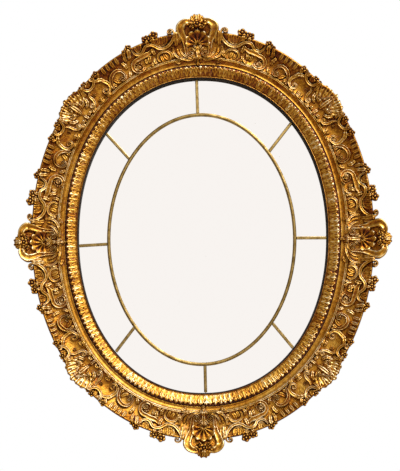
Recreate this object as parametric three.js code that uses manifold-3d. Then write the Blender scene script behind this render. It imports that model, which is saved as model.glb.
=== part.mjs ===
// An oval wall mirror: a carved and gilded wooden frame round eight border plates and a centre plate,
// with thin metal slips over the joints, a backboard behind them and a hanging plate at the top.
// Millimetres, +X to the right, +Z up, the front faces -Y, and the wall is the plane y = 0.
// The origin is on the rear face of the hanging plate, where the mirror meets the wall.
import * as THREE from "three";
import { mergeVertices } from "three/addons/utils/BufferGeometryUtils.js";
import Module from "manifold-3d";

const wasm = await Module();
wasm.setup();

// Sight edge: the superellipse that the frame's inner lip follows.
const SIGHT_HALF_WIDTH = 352;
const SIGHT_HALF_HEIGHT = 447;
const SIGHT_EXPONENT = 2.12;
const SIGHT_SAMPLES = 7200;

// Distances in front of the wall. Touching pieces keep FIT between them.
const FIT = 0.3;
const HANGER_THICKNESS = 2.5;
const FRAME_BACK = HANGER_THICKNESS + FIT;
const BOARD_BACK = 4;
const BOARD_FRONT = 12.7;
const PLATE_BACK = BOARD_FRONT + FIT;
const PLATE_FRONT = PLATE_BACK + 4;
const LEDGE = PLATE_FRONT + FIT;

// The frame's rebate, which holds the plates and the board, and how far they reach into it.
const REBATE = 8;
const PLATE_REACH = 6;
const BOARD_REACH = 5.5;

// The frame's front, from the lip outwards: offset from the sight edge, distance in front of the wall.
const LIP = [[0, 34.5], [6, 38]];
const LEAF_TIP = [33, 52];
const LEAF_NOTCH = [26, 46];
const FIELD = [[38, 41.5], [55, 50.5], [90, 52]];
const RIM_OFFSET = 126;
const RIM_HEIGHT = 76;
const RIM_OUTER = [5, -6];
const SIDE_FOOT = [-14, FRAME_BACK];

// The carving is drawn once, from the middle of a cartouche to the middle of a diagonal palmette,
// as U along the line that lies CARVED_LINE outside the sight edge, and H outwards from the sight edge.
// It is drawn as it looks from the front, a little too far out, and DRAWN brings H in to its true size.
const CARVED_LINE = 100;
const EIGHTH = 396;
const DRAWN = 0.955;
const CARTOUCHE_GROWTH = 31;
const DIAGONAL_GROWTH = 11;

// Where the cartouches and the palmettes were set, along the carved line, from the right and upwards.
const STATIONS = [-16, 389, 810, 1222, 1615, 1996, 2382, 2768];

// The ring's facets: where they start in each eighth, by U, and the leaf tips round the whole band,
// each of which stands for two of the real leaves.
const RING_STOPS = [0, 36, 58, 124, 190, 256, 322, 362];
const LEAVES = 96;

// How deep a carved piece is let into the ground, so that both are one body.
const ROOT = 10;
const OVERHANG_BACK = 56;

// Slips: half-round metal strips over the joints between the plates. The oval was set a little low
// and to the left in the frame, and the bars run outwards from its centre.
const OVAL_CENTRE = new THREE.Vector2(-3, -11);
const SLIP_OVAL_HALF_WIDTH = 264;
const SLIP_OVAL_HALF_HEIGHT = 356;
const SLIP_HALF = 5;
const SLIP_HEIGHT = 6.5;
const SLIP_SEGMENTS = 48;
const BAR_HALF = 4.5;
const BAR_END = 1.5;
const JOINT_HALF = 1;
const BAR_ANGLES = [0.4, 52.4, 91.9, 132.3, 183.6, 233, 271.4, 309.7];

// Hanging plate, its keyhole and its two screws, about the origin.
const HANGER_HALF_WIDTH = 20;
const HANGER_TOP = 26;
const HANGER_BOTTOM = -62;
const HANGER_CORNER = 6;
const KEYHOLE_RADIUS = 7;
const KEYHOLE_Z = -34;
const SLOT_HALF = 3;
const SLOT_TOP = -14;
const POCKET = { halfWidth: 11, bottom: -44, top: -9, depth: 12 };
const SCREWS = { z: [15, -52], headRadius: 4.6, shankRadius: 2.2, length: 20, sunk: 0.2, sides: 8 };
const HANGER_HEIGHT = 522;

const DEGREE = Math.PI / 180;

const FINISHES = {
  gilding: { color: 0xb98a3a, roughness: 0.42, metalness: 0.85 },
  silvering: { color: 0xe9edee, roughness: 0.03, metalness: 1 },
  slip: { color: 0xa08d58, roughness: 0.35, metalness: 0.9 },
  board: { color: 0x7c5a38, roughness: 0.85, metalness: 0 },
  brass: { color: 0xa98a45, roughness: 0.4, metalness: 1 },
  steel: { color: 0x6c6a66, roughness: 0.45, metalness: 1 },
};

// A closed run of samples along a curve about the origin, with its outward normals and the length
// of the line that lies LINE outside it.
function sampledCurve(pointAt, line) {
  const samples = [];
  for (let i = 0; i <= SIGHT_SAMPLES; i++) {
    samples.push({ p: pointAt((i / SIGHT_SAMPLES) * 2 * Math.PI) });
  }
  samples.forEach((s, i) => {
    const before = samples[i === 0 ? SIGHT_SAMPLES - 1 : i - 1].p;
    const after = samples[i === SIGHT_SAMPLES ? 1 : i + 1].p;
    s.n = new THREE.Vector2(after.y - before.y, before.x - after.x).normalize();
  });
  samples[0].u = 0;
  for (let i = 1; i <= SIGHT_SAMPLES; i++) {
    const here = samples[i].p.clone().addScaledVector(samples[i].n, line);
    const last = samples[i - 1].p.clone().addScaledVector(samples[i - 1].n, line);
    samples[i].u = samples[i - 1].u + here.distanceTo(last);
  }
  return samples;
}

function superellipse(halfWidth, halfHeight, exponent) {
  const power = (v) => Math.sign(v) * Math.abs(v) ** (2 / exponent);
  return (a) => new THREE.Vector2(halfWidth * power(Math.cos(a)), halfHeight * power(Math.sin(a)));
}

const sight = sampledCurve(superellipse(SIGHT_HALF_WIDTH, SIGHT_HALF_HEIGHT, SIGHT_EXPONENT), CARVED_LINE);
const ROUND = sight[SIGHT_SAMPLES].u;

// The point of the sight edge, and its normal, at u along the carved line.
function onSight(u) {
  const wanted = ((u % ROUND) + ROUND) % ROUND;
  let low = 0;
  let high = SIGHT_SAMPLES;
  while (high - low > 1) {
    const middle = (low + high) >> 1;
    if (sight[middle].u > wanted) high = middle;
    else low = middle;
  }
  const f = (wanted - sight[low].u) / (sight[high].u - sight[low].u);
  return {
    p: sight[low].p.clone().lerp(sight[high].p, f),
    n: sight[low].n.clone().lerp(sight[high].n, f).normalize(),
  };
}

function place(u, h, w) {
  const { p, n } = onSight(u);
  return new THREE.Vector3(p.x + n.x * h, -w, p.y + n.y * h);
}

function ease(from, to, value) {
  const t = Math.min(1, Math.max(0, (value - from) / (to - from)));
  return t * t * (3 - 2 * t);
}

// How much further out the rim lies at U from a cartouche.
function growth(U) {
  const cartouche = CARTOUCHE_GROWTH * (1 - ease(34, 57, U));
  const diagonal = DIAGONAL_GROWTH * (1 - ease(18, 52, EIGHTH - U));
  return cartouche + diagonal;
}

// Station k, or the one after a full round.
function stationAt(k) {
  return STATIONS[((k % 8) + 8) % 8] + Math.floor(k / 8) * ROUND;
}

// The frame's ground at U, as points from the groove outwards over the rim.
function groundProfile(U) {
  const g = growth(U);
  const rim = RIM_OFFSET + g;
  const stretched = FIELD.map(([h, w]) => [h + g * ease(84, 124, h), w]);
  return [
    ...stretched,
    [rim, RIM_HEIGHT],
    [rim + RIM_OUTER[0], RIM_HEIGHT + RIM_OUTER[1]],
  ];
}

// Distance of the carved ground from the wall at U and H, as they are drawn.
function ground(U, H) {
  const h = H * DRAWN;
  const points = [...LIP, LEAF_NOTCH, ...groundProfile(U)];
  const last = points.length - 1;
  if (h >= points[last][0]) return OVERHANG_BACK + ROOT;
  let i = 1;
  while (points[i][0] < h) i += 1;
  const [h0, w0] = points[i - 1];
  const [h1, w1] = points[i];
  return w0 + ((w1 - w0) * Math.max(0, h - h0)) / (h1 - h0);
}

// A solid of the boolean library from vertices and triangles, turned outwards if need be.
function solidFrom(vertices, triangles) {
  let volume = 0;
  for (const [a, b, c] of triangles) {
    volume += vertices[a].dot(vertices[b].clone().cross(vertices[c]));
  }
  const outward = volume > 0 ? triangles : triangles.map(([a, b, c]) => [a, c, b]);
  const vertProperties = new Float32Array(vertices.flatMap((v) => [v.x, v.y, v.z]));
  const triVerts = new Uint32Array(outward.flat());
  return new wasm.Manifold(new wasm.Mesh({ numProp: 3, vertProperties, triVerts }));
}

function solidOf(geometry) {
  const bare = geometry.clone();
  bare.deleteAttribute("normal");
  bare.deleteAttribute("uv");
  const merged = mergeVertices(bare, 1e-3);
  const triVerts = new Uint32Array(merged.index.array);
  return new wasm.Manifold(new wasm.Mesh({ numProp: 3, vertProperties: merged.attributes.position.array, triVerts }));
}

function geometryOf(solid) {
  const { vertProperties, triVerts } = solid.getMesh();
  const geometry = new THREE.BufferGeometry();
  geometry.setAttribute("position", new THREE.BufferAttribute(vertProperties, 3));
  geometry.setIndex(new THREE.BufferAttribute(triVerts, 1));
  const faceted = geometry.toNonIndexed();
  faceted.computeVertexNormals();
  return faceted;
}

// Joins solids in pairs, so that each join stays small.
function joined(solids) {
  let left = solids;
  while (left.length > 1) {
    const pairs = [];
    for (let i = 0; i < left.length; i += 2) {
      pairs.push(i + 1 < left.length ? left[i].add(left[i + 1]) : left[i]);
    }
    left = pairs;
  }
  return left[0];
}

// Closed rings of points, each joined to the next and the last to the first. A ring holds its points
// and their marks, which rise round the ring, and a strip steps on at the ring whose next mark is lower.
function woven(rings) {
  const starts = [];
  let count = 0;
  for (const ring of rings) {
    starts.push(count);
    count += ring.points.length;
  }
  const triangles = [];
  rings.forEach((ring, r) => {
    const other = (r + 1) % rings.length;
    const next = rings[other];
    const index = (start, list, i) => start + (i % list.length);
    const mark = (list, i) => (i < list.length ? list[i] : Infinity);
    let i = 0;
    let j = 0;
    while (i < ring.points.length || j < next.points.length) {
      const a = index(starts[r], ring.points, i);
      const b = index(starts[other], next.points, j);
      const stepRing = i < ring.points.length
        && (j >= next.points.length || mark(ring.marks, i + 1) <= mark(next.marks, j + 1));
      if (stepRing) {
        triangles.push([a, index(starts[r], ring.points, i + 1), b]);
        i += 1;
      } else {
        triangles.push([a, index(starts[other], next.points, j + 1), b]);
        j += 1;
      }
    }
  });
  return solidFrom(rings.flatMap((ring) => ring.points), triangles);
}

// The ground of the frame, turned round the sight edge: lip, leaf tips, cove, fillet, field and rim.
function frameGround() {
  const stops = [];
  for (let k = 0; k < 8; k++) {
    const length = stationAt(k + 1) - stationAt(k);
    const own = k % 2 === 0 ? RING_STOPS : [EIGHTH, ...RING_STOPS.slice(1).reverse()];
    for (const U of own) {
      const share = k % 2 === 0 ? U / EIGHTH : 1 - U / EIGHTH;
      stops.push({ u: stationAt(k) + length * share, U });
    }
  }
  const marks = stops.map((stop) => stop.u);
  const even = ([h, w]) => ({ marks, points: marks.map((u) => place(u, h, w)) });
  const leafMarks = Array.from({ length: 2 * LEAVES }, (_, j) => marks[0] + (j * ROUND) / (2 * LEAVES));
  const leaves = leafMarks.map((u, j) => place(u, ...(j % 2 ? LEAF_TIP : LEAF_NOTCH)));
  const profiles = stops.map((stop) => groundProfile(stop.U));
  const outer = profiles[0].map((_, i) => {
    return { marks, points: marks.map((u, j) => place(u, ...profiles[j][i])) };
  });
  const foot = stops.map(({ u, U }) => place(u, RIM_OFFSET + growth(U) + SIDE_FOOT[0], SIDE_FOOT[1]));
  const inner = [[REBATE, FRAME_BACK], [REBATE, LEDGE], [0, LEDGE], ...LIP].map(even);
  return woven([...inner, { marks: leafMarks, points: leaves }, ...outer, { marks, points: foot }]);
}

// One eighth of the carving: turns U, H and W into a place on eighth k.
function eighth(k) {
  const from = stationAt(k % 2 === 0 ? k : k + 1);
  const to = stationAt(k % 2 === 0 ? k + 1 : k);
  const at = (U, H, W) => place(from + ((to - from) * U) / EIGHTH, H * DRAWN, W);
  return at;
}

// A carved strand with a ridge: PATH gives U and H for t from 0 to 1, HALF its half width
// and RISE the height of its ridge over the ground.
function strand(at, { path, steps, half, rise }) {
  const vertices = [];
  const reach = 0.5 / steps;
  for (let i = 0; i <= steps; i++) {
    const t = i / steps;
    const [U, H] = path(t);
    const [U0, H0] = path(Math.max(0, t - reach));
    const [U1, H1] = path(Math.min(1, t + reach));
    const along = new THREE.Vector2(U1 - U0, H1 - H0).normalize();
    const wide = half(t);
    const side = [U - along.y * wide, H + along.x * wide];
    const otherSide = [U + along.y * wide, H - along.x * wide];
    const low = Math.min(ground(U, side[1]), ground(U, otherSide[1]), ground(U, H)) - ROOT;
    vertices.push(at(...side, low), at(U, H, ground(U, H) + rise(t)), at(...otherSide, low));
  }
  const triangles = [[0, 1, 2]];
  for (let i = 0; i < steps; i++) {
    for (let j = 0; j < 3; j++) {
      const a = 3 * i + j;
      const b = 3 * i + ((j + 1) % 3);
      triangles.push([a, a + 3, b], [b, a + 3, b + 3]);
    }
  }
  const end = 3 * steps;
  triangles.push([end, end + 2, end + 1]);
  return solidFrom(vertices, triangles);
}

// A boss: a front point over a ring of points that swings between two radii, closed behind.
function boss(at, { centre, radius, waist, points, front, back, crown }) {
  const [U, H] = centre;
  const vertices = [at(U, H, front + crown), at(U, H, back)];
  for (let i = 0; i < points; i++) {
    const angle = (i / points) * 2 * Math.PI + Math.PI / 2;
    const r = i % 2 ? radius * waist : radius;
    const edge = [U + r * Math.cos(angle), H + r * Math.sin(angle)];
    vertices.push(at(...edge, front), at(...edge, back));
  }
  const triangles = [];
  for (let i = 0; i < points; i++) {
    const a = 2 + 2 * i;
    const b = 2 + 2 * ((i + 1) % points);
    triangles.push([0, a, b], [1, b + 1, a + 1], [a, a + 1, b + 1], [a, b + 1, b]);
  }
  return solidFrom(vertices, triangles);
}

// Paths in U and H.
function spiral(centre, startRadius, endRadius, startAngle, endAngle) {
  return (t) => {
    const r = startRadius + (endRadius - startRadius) * t;
    const a = (startAngle + (endAngle - startAngle) * t) * DEGREE;
    return [centre[0] + r * Math.cos(a), centre[1] + r * Math.sin(a)];
  };
}

function bend(...points) {
  const curve = new THREE.SplineCurve(points.map(([U, H]) => new THREE.Vector2(U, H)));
  return (t) => curve.getPoint(t).toArray();
}

const taper = (wide, narrow) => (t) => wide + (narrow - wide) * t;
const swell = (ends, middle) => (t) => ends + (middle - ends) * Math.sin(Math.PI * t);

// The scrolls and flowers that each eighth repeats.
const STRANDS = [
  // The cartouche's side scroll: out of its eye, under it and up into the broad ear.
  {
    path: bend([25, 72], [19, 58], [38, 62], [42, 94], [41, 124], [47, 163]),
    steps: 6,
    half: (t) => 4 + 9 * ease(0.55, 0.95, t),
    rise: (t) => 10 + 8 * t,
  },
  // The first hanging scroll.
  { path: bend([66, 124], [78, 100], [104, 94], [121, 114]), steps: 4, half: swell(4, 6), rise: swell(8, 13) },
  // The second hanging scroll.
  { path: bend([150, 120], [162, 106], [180, 107], [194, 124]), steps: 4, half: swell(4, 6), rise: swell(8, 12) },
  // The ring scroll, open at the top.
  { path: spiral([180, 75], 17, 11, 170, 420), steps: 5, half: taper(5, 4), rise: swell(8, 12) },
  // The arched scroll.
  { path: bend([235, 70], [238, 90], [256, 97], [274, 90], [288, 70]), steps: 5, half: taper(4.4, 5), rise: swell(8, 12) },
  // The flank scroll beside the palmette.
  { path: bend([286, 118], [284, 90], [304, 72], [330, 84]), steps: 4, half: swell(4, 7), rise: swell(9, 13) },
];

const FLOWER = { points: 6, waist: 0.9, front: 76, back: OVERHANG_BACK, crown: 7 };
const LUMP = { points: 5, waist: 1, front: 74, back: OVERHANG_BACK, crown: 6 };

const BOSSES = [
  { ...LUMP, centre: [74, 141], radius: 8 },
  { ...FLOWER, centre: [111, 141], radius: 14 },
  { ...FLOWER, centre: [136, 139], radius: 11 },
  { ...FLOWER, centre: [188, 139], radius: 11 },
  { ...LUMP, centre: [285, 134], radius: 11 },
  { ...LUMP, centre: [325, 135], radius: 10 },
];

function carvedEighth(k) {
  const at = eighth(k);
  const solids = STRANDS.map((s) => strand(at, s));
  solids.push(...BOSSES.map((b) => boss(at, b)));
  return solids;
}

// What stands on the axis of a cartouche: the shell, the flowers at its tip and the hanging bud.
// On a diagonal there is a broader fan of leaves.
const SHELL = { hinge: 93, lobes: 7, spread: 105, middle: 108, halfWidth: 30, halfHeight: 31, rise: 13, valley: 0.86 };
const PALMETTE = { hinge: 80, lobes: 7, spread: 84, middle: 109, halfWidth: 50, halfHeight: 45, rise: 15, valley: 0.84 };
const TIP_FLOWERS = [[0, 172, 13], [-19, 162, 12], [19, 162, 12]];
const BUD = [[0, 92], [0, 34]];

function fan(at, U0, { hinge, lobes, spread, middle, halfWidth, halfHeight, rise, valley }) {
  const rays = 2 * lobes;
  const top = [];
  const bottom = [];
  for (let i = 0; i <= rays; i++) {
    const angle = ((i / rays) * 2 - 1) * spread * DEGREE;
    const reach = i % 2 ? 1 : valley;
    const U = reach * halfWidth * Math.sin(angle);
    const H = middle + reach * halfHeight * Math.cos(angle);
    top.push(at(U, H, ground(U0, H) + rise * reach));
    bottom.push(at(U, H, ground(U0, H) - ROOT));
  }
  const vertices = [...top, at(0, hinge, ground(U0, hinge) + rise * valley), ...bottom];
  vertices.push(at(0, hinge, ground(U0, hinge) - ROOT));
  const round = rays + 2;
  const triangles = [];
  for (let i = 0; i < round; i++) {
    const j = (i + 1) % round;
    triangles.push([i, j, i + round], [j, j + round, i + round]);
  }
  for (let i = 0; i < rays; i++) {
    triangles.push([rays + 1, i + 1, i], [rays + 1 + round, i + round, i + 1 + round]);
  }
  return solidFrom(vertices, triangles);
}

function axisPieces(k) {
  const along = (U, H, W) => place(stationAt(k) + U, H * DRAWN, W);
  if (k % 2) return [fan(along, EIGHTH, PALMETTE)];
  const flowers = TIP_FLOWERS.map(([U, H, radius]) => {
    return boss(along, { ...FLOWER, centre: [U, H], radius, front: 80 });
  });
  const bud = { path: bend(...BUD), steps: 3, half: swell(2, 8), rise: swell(7, 14) };
  return [fan(along, 0, SHELL), ...flowers, strand(along, bud)];
}

// How far a grown curve lies from the oval's centre at an angle, for pieces that end at a bar.
function polarRadius(samples, grown, angle) {
  const direction = new THREE.Vector2(Math.cos(angle), Math.sin(angle));
  let best = null;
  for (let i = 0; i < SIGHT_SAMPLES; i++) {
    const a = samples[i].p.clone().addScaledVector(samples[i].n, grown).sub(OVAL_CENTRE);
    const b = samples[i + 1].p.clone().addScaledVector(samples[i + 1].n, grown).sub(OVAL_CENTRE);
    const crossA = direction.cross(a);
    const crossB = direction.cross(b);
    if (crossA <= 0 && crossB > 0 && direction.dot(a) > 0) best = a.lerp(b, crossA / (crossA - crossB));
  }
  return best.length();
}

// Where a line beside the ray at ANGLE, ACROSS to its left, meets a curve grown by GROWN.
function alongRay(samples, grown, angle, across) {
  const direction = new THREE.Vector2(Math.cos(angle), Math.sin(angle));
  const left = new THREE.Vector2(-direction.y, direction.x);
  let radius = polarRadius(samples, grown, angle);
  for (let pass = 0; pass < 4; pass++) {
    radius = Math.sqrt(Math.max(0, polarRadius(samples, grown, angle + Math.atan2(across, radius)) ** 2 - across ** 2));
  }
  return direction.multiplyScalar(radius).addScaledVector(left, across).add(OVAL_CENTRE);
}

const ellipse = superellipse(SLIP_OVAL_HALF_WIDTH, SLIP_OVAL_HALF_HEIGHT, 2);
const slipOval = sampledCurve((a) => ellipse(a).add(OVAL_CENTRE), 0);

function outlineOf(samples, grown, segments) {
  const points = [];
  for (let i = 0; i < segments; i++) {
    const s = samples[Math.round((i / segments) * SIGHT_SAMPLES)];
    points.push(s.p.clone().addScaledVector(s.n, grown));
  }
  return points;
}

// A flat piece with its outline seen from the front, between two distances from the wall.
function flatPiece(outline, back, front, holes = []) {
  const shape = new THREE.Shape(outline);
  for (const hole of holes) shape.holes.push(new THREE.Path(hole));
  const geometry = new THREE.ExtrudeGeometry(shape, { depth: front - back, bevelEnabled: false });
  geometry.rotateX(Math.PI / 2);
  geometry.translate(0, -back, 0);
  return geometry;
}

function barAngle(i) {
  return (BAR_ANGLES[i % 8] + (i >= 8 ? 360 : 0)) * DEGREE;
}

function borderPlate(i) {
  const innerSteps = 5;
  const outerSteps = 8;
  const from = barAngle(i);
  const to = barAngle(i + 1);
  const inner = [alongRay(slipOval, JOINT_HALF, to, -JOINT_HALF), alongRay(slipOval, JOINT_HALF, from, JOINT_HALF)];
  const outer = [alongRay(sight, PLATE_REACH, from, JOINT_HALF), alongRay(sight, PLATE_REACH, to, -JOINT_HALF)];
  const arc = (samples, grown, start, end, steps) => {
    const points = [];
    const first = start.clone().sub(OVAL_CENTRE).angle();
    let sweep = end.clone().sub(OVAL_CENTRE).angle() - first;
    if (Math.abs(sweep) > Math.PI) sweep -= Math.sign(sweep) * 2 * Math.PI;
    for (let j = 1; j < steps; j++) {
      const angle = first + (sweep * j) / steps;
      const radius = polarRadius(samples, grown, angle);
      points.push(new THREE.Vector2(Math.cos(angle), Math.sin(angle)).multiplyScalar(radius).add(OVAL_CENTRE));
    }
    return points;
  };
  const outline = [
    outer[0],
    ...arc(sight, PLATE_REACH, outer[0], outer[1], outerSteps),
    outer[1],
    inner[0],
    ...arc(slipOval, JOINT_HALF, inner[0], inner[1], innerSteps),
    inner[1],
  ];
  return flatPiece(outline, PLATE_BACK, PLATE_FRONT);
}

// The slips' half-round section: across, and distance from the wall.
function slipSection(half) {
  return [-1, -0.6, 0.6, 1].map((across) => [across * half, LEDGE + SLIP_HEIGHT * (1 - across ** 4) ** 0.5]);
}

function slipOvalSolid() {
  const marks = Array.from({ length: SLIP_SEGMENTS }, (_, i) => i);
  const rings = slipSection(SLIP_HALF).map(([grown, w]) => {
    const points = outlineOf(slipOval, grown, SLIP_SEGMENTS).map((p) => new THREE.Vector3(p.x, -w, p.y));
    return { marks, points };
  });
  return woven(rings);
}

function slipBarSolid(i) {
  const angle = barAngle(i);
  const section = slipSection(BAR_HALF);
  const vertices = [];
  for (const [across, w] of section) {
    const near = alongRay(slipOval, SLIP_HALF + FIT, angle, across);
    const far = alongRay(sight, -BAR_END, angle, across);
    vertices.push(new THREE.Vector3(near.x, -w, near.y), new THREE.Vector3(far.x, -w, far.y));
  }
  const count = section.length;
  const triangles = [];
  for (let j = 0; j < count; j++) {
    const a = 2 * j;
    const b = 2 * ((j + 1) % count);
    triangles.push([a, a + 1, b], [b, a + 1, b + 1]);
    if (j > 0 && j < count - 1) triangles.push([0, a, a + 2], [1, a + 3, a + 1]);
  }
  return solidFrom(vertices, triangles);
}

// A cylinder along Y about x = 0 at height z, between two distances from the wall.
function roundBar(radiusBack, radiusFront, back, front, z) {
  const geometry = new THREE.CylinderGeometry(radiusBack, radiusFront, front - back, SCREWS.sides);
  geometry.translate(0, -(front + back) / 2, 0);
  geometry.translate(0, 0, z);
  return solidOf(geometry);
}

// A countersunk screw, or with a gap the hole that takes it and opens to the back.
function screwSolid(z, gap) {
  const head = SCREWS.headRadius + gap;
  const shank = SCREWS.shankRadius + gap;
  const cone = roundBar(head, shank, SCREWS.sunk, HANGER_THICKNESS, z);
  const screw = cone.add(roundBar(shank, shank, SCREWS.sunk + gap, SCREWS.length + gap, z));
  return gap > 0 ? screw.add(roundBar(head, head, -1, SCREWS.sunk, z)) : screw;
}

function hangerOutline() {
  const shape = new THREE.Shape();
  const r = HANGER_CORNER;
  const x = HANGER_HALF_WIDTH;
  shape.absarc(x - r, HANGER_TOP - r, r, 0, Math.PI / 2);
  shape.absarc(-x + r, HANGER_TOP - r, r, Math.PI / 2, Math.PI);
  shape.absarc(-x + r, HANGER_BOTTOM + r, r, Math.PI, 1.5 * Math.PI);
  shape.absarc(x - r, HANGER_BOTTOM + r, r, 1.5 * Math.PI, 2 * Math.PI);
  return shape.extractPoints(3).shape;
}

function keyholeOutline() {
  const start = Math.asin(SLOT_HALF / KEYHOLE_RADIUS);
  const shape = new THREE.Shape();
  shape.absarc(0, KEYHOLE_Z, KEYHOLE_RADIUS, Math.PI / 2 + start, 2.5 * Math.PI - start);
  shape.absarc(0, SLOT_TOP - SLOT_HALF, SLOT_HALF, 0, Math.PI);
  return shape.extractPoints(5).shape;
}

function box(halfWidth, back, front, bottom, top) {
  const geometry = new THREE.BoxGeometry(2 * halfWidth, front - back, top - bottom);
  geometry.translate(0, -(back + front) / 2, (bottom + top) / 2);
  return solidOf(geometry);
}

// The frame: the ground with its carving, less the pocket behind the keyhole and the screw holes.
function frameSolid() {
  const carving = [];
  for (let k = 0; k < 8; k++) carving.push(...carvedEighth(k), ...axisPieces(k));
  const whole = frameGround().add(joined(carving));
  const { halfWidth, bottom, top, depth } = POCKET;
  const pocket = box(halfWidth, 0, FRAME_BACK + depth, HANGER_HEIGHT + bottom, HANGER_HEIGHT + top);
  let cut = whole.subtract(pocket);
  for (const z of SCREWS.z) cut = cut.subtract(screwSolid(HANGER_HEIGHT + z, FIT));
  return cut;
}

function hangerSolid() {
  const plate = solidOf(flatPiece(hangerOutline(), 0, HANGER_THICKNESS, [keyholeOutline()]));
  let cut = plate;
  for (const z of SCREWS.z) cut = cut.subtract(screwSolid(z, FIT));
  return cut;
}

function named(name, geometry, finish) {
  const mesh = new THREE.Mesh(geometry, new THREE.MeshStandardMaterial(FINISHES[finish]));
  mesh.name = name;
  return mesh;
}

const BORDER_NAMES = [
  "right_upper", "upper_right", "upper_left", "left_upper", "left_lower", "lower_left", "lower_right", "right_lower",
];
const BAR_NAMES = [
  "right", "upper_right", "top", "upper_left", "left", "lower_left", "bottom", "lower_right",
];

// Everything about the mirror's centre hangs below the origin.
const mirror = new THREE.Group();
mirror.position.z = -HANGER_HEIGHT;
mirror.add(named("frame", geometryOf(frameSolid()), "gilding"));
const centreOutline = outlineOf(slipOval, -JOINT_HALF, SLIP_SEGMENTS);
mirror.add(named("mirror_plate_centre", flatPiece(centreOutline, PLATE_BACK, PLATE_FRONT), "silvering"));
BORDER_NAMES.forEach((place, i) => {
  mirror.add(named("mirror_plate_" + place, borderPlate(i), "silvering"));
});
mirror.add(named("slip_oval", geometryOf(slipOvalSolid()), "slip"));
BAR_NAMES.forEach((place, i) => {
  mirror.add(named("slip_bar_" + place, geometryOf(slipBarSolid(i)), "slip"));
});
const boardOutline = outlineOf(sight, BOARD_REACH, SLIP_SEGMENTS);
mirror.add(named("backboard", flatPiece(boardOutline, BOARD_BACK, BOARD_FRONT), "board"));

const hanger = new THREE.Group();
hanger.add(named("hanging_plate", geometryOf(hangerSolid()), "brass"));
SCREWS.z.forEach((z, i) => {
  hanger.add(named("hanger_screw_" + (i ? "lower" : "upper"), geometryOf(screwSolid(z, 0)), "steel"));
});

const wallMirror = new THREE.Group();
wallMirror.add(mirror, hanger);

export default wallMirror;
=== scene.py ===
# %% [markdown]
# An oval wall mirror in a carved and gilded frame. The wood was carved as one broad ring, covered
# with white gesso and red clay bole, laid with gold leaf and toned down with a brown wash that
# has stayed in the hollows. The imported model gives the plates, the slips and the frame's main
# form. The fine relief could be sculpted by hand or left to bump in a material, but the first is
# never the same twice and the second has no true edges, so the cells below work it out with numpy
# as surfaces.

import bpy
import numpy as np
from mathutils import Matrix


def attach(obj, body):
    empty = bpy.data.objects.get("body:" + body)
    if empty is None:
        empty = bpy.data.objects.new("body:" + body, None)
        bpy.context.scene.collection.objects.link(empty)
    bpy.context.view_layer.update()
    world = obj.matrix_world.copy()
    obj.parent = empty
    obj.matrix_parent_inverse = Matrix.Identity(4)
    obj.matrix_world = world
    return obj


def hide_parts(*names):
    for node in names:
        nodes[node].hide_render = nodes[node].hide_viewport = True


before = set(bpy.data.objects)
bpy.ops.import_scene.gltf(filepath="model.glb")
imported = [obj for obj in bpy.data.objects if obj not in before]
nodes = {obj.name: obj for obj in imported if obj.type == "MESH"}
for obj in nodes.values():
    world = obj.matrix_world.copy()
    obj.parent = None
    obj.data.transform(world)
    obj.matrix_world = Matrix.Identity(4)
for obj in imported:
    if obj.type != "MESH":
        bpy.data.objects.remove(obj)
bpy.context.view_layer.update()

# %% [markdown]
# The camera stands some forty centimetres below the middle of the mirror and a hand's breadth to
# the left, four metres away, so the rim shifts up against the glass. A nearer camera with a
# shorter lens would show as much, but would draw the near rim too large: a long lens keeps the
# oval true.

# %% Camera
CAMERA_DISTANCE = 4.0
CAMERA_LENS = 108.0
SENSOR_WIDTH = 36.0
CAMERA_ELEVATION = np.radians(-6.0)
CAMERA_AZIMUTH = np.radians(-1.0)
HANGER_HEIGHT = 0.522  # the origin, in the hanging plate, above the middle of the glass
AIM = np.array([-0.0085, -0.03, -HANGER_HEIGHT - 0.004])

camera_data = bpy.data.cameras.new("camera")
camera_data.lens = CAMERA_LENS
camera_data.sensor_width = SENSOR_WIDTH
camera = bpy.data.objects.new("camera", camera_data)
bpy.context.scene.collection.objects.link(camera)
offset = CAMERA_DISTANCE * np.array([
    np.sin(CAMERA_AZIMUTH) * np.cos(CAMERA_ELEVATION),
    -np.cos(CAMERA_AZIMUTH) * np.cos(CAMERA_ELEVATION),
    np.sin(CAMERA_ELEVATION),
])
camera.location = AIM + offset
camera.rotation_euler = (np.pi / 2 - CAMERA_ELEVATION, 0.0, CAMERA_AZIMUTH)
bpy.context.scene.camera = camera
print("camera at", [round(float(v), 3) for v in camera.location])

# %% [markdown]
# The frame's inner edge, the sight edge, is a superellipse: a little fuller at the corners than
# an ellipse. All the carving is laid out on the line 100 mm outside it. U runs along that line, H
# runs outwards from the edge and W forwards from the wall, in millimetres. Each scroll could be
# placed in x and z instead, but then each would have to be bent to the oval. In U and H one
# drawing of an eighth of the ornament serves all eight, mirrored in turn.

# %% The sight edge and the carved line
MM_PER_METRE = 1000.0
SIGHT_HALF_WIDTH = 352.0
SIGHT_HALF_HEIGHT = 447.0
SIGHT_EXPONENT = 2.12
EDGE_STEPS = 14400
CARVED_LINE = 100.0


def superellipse(angle, half_width, half_height, exponent):
    """Half width times the cosine, half height times the sine, each raised to 2 / exponent.

    The power is taken of the size alone, and each keeps its sign."""
    cosine, sine = np.cos(angle), np.sin(angle)
    power = 2.0 / exponent
    return np.stack([
        half_width * np.sign(cosine) * np.abs(cosine) ** power,
        half_height * np.sign(sine) * np.abs(sine) ** power,
    ], axis=-1)


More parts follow.
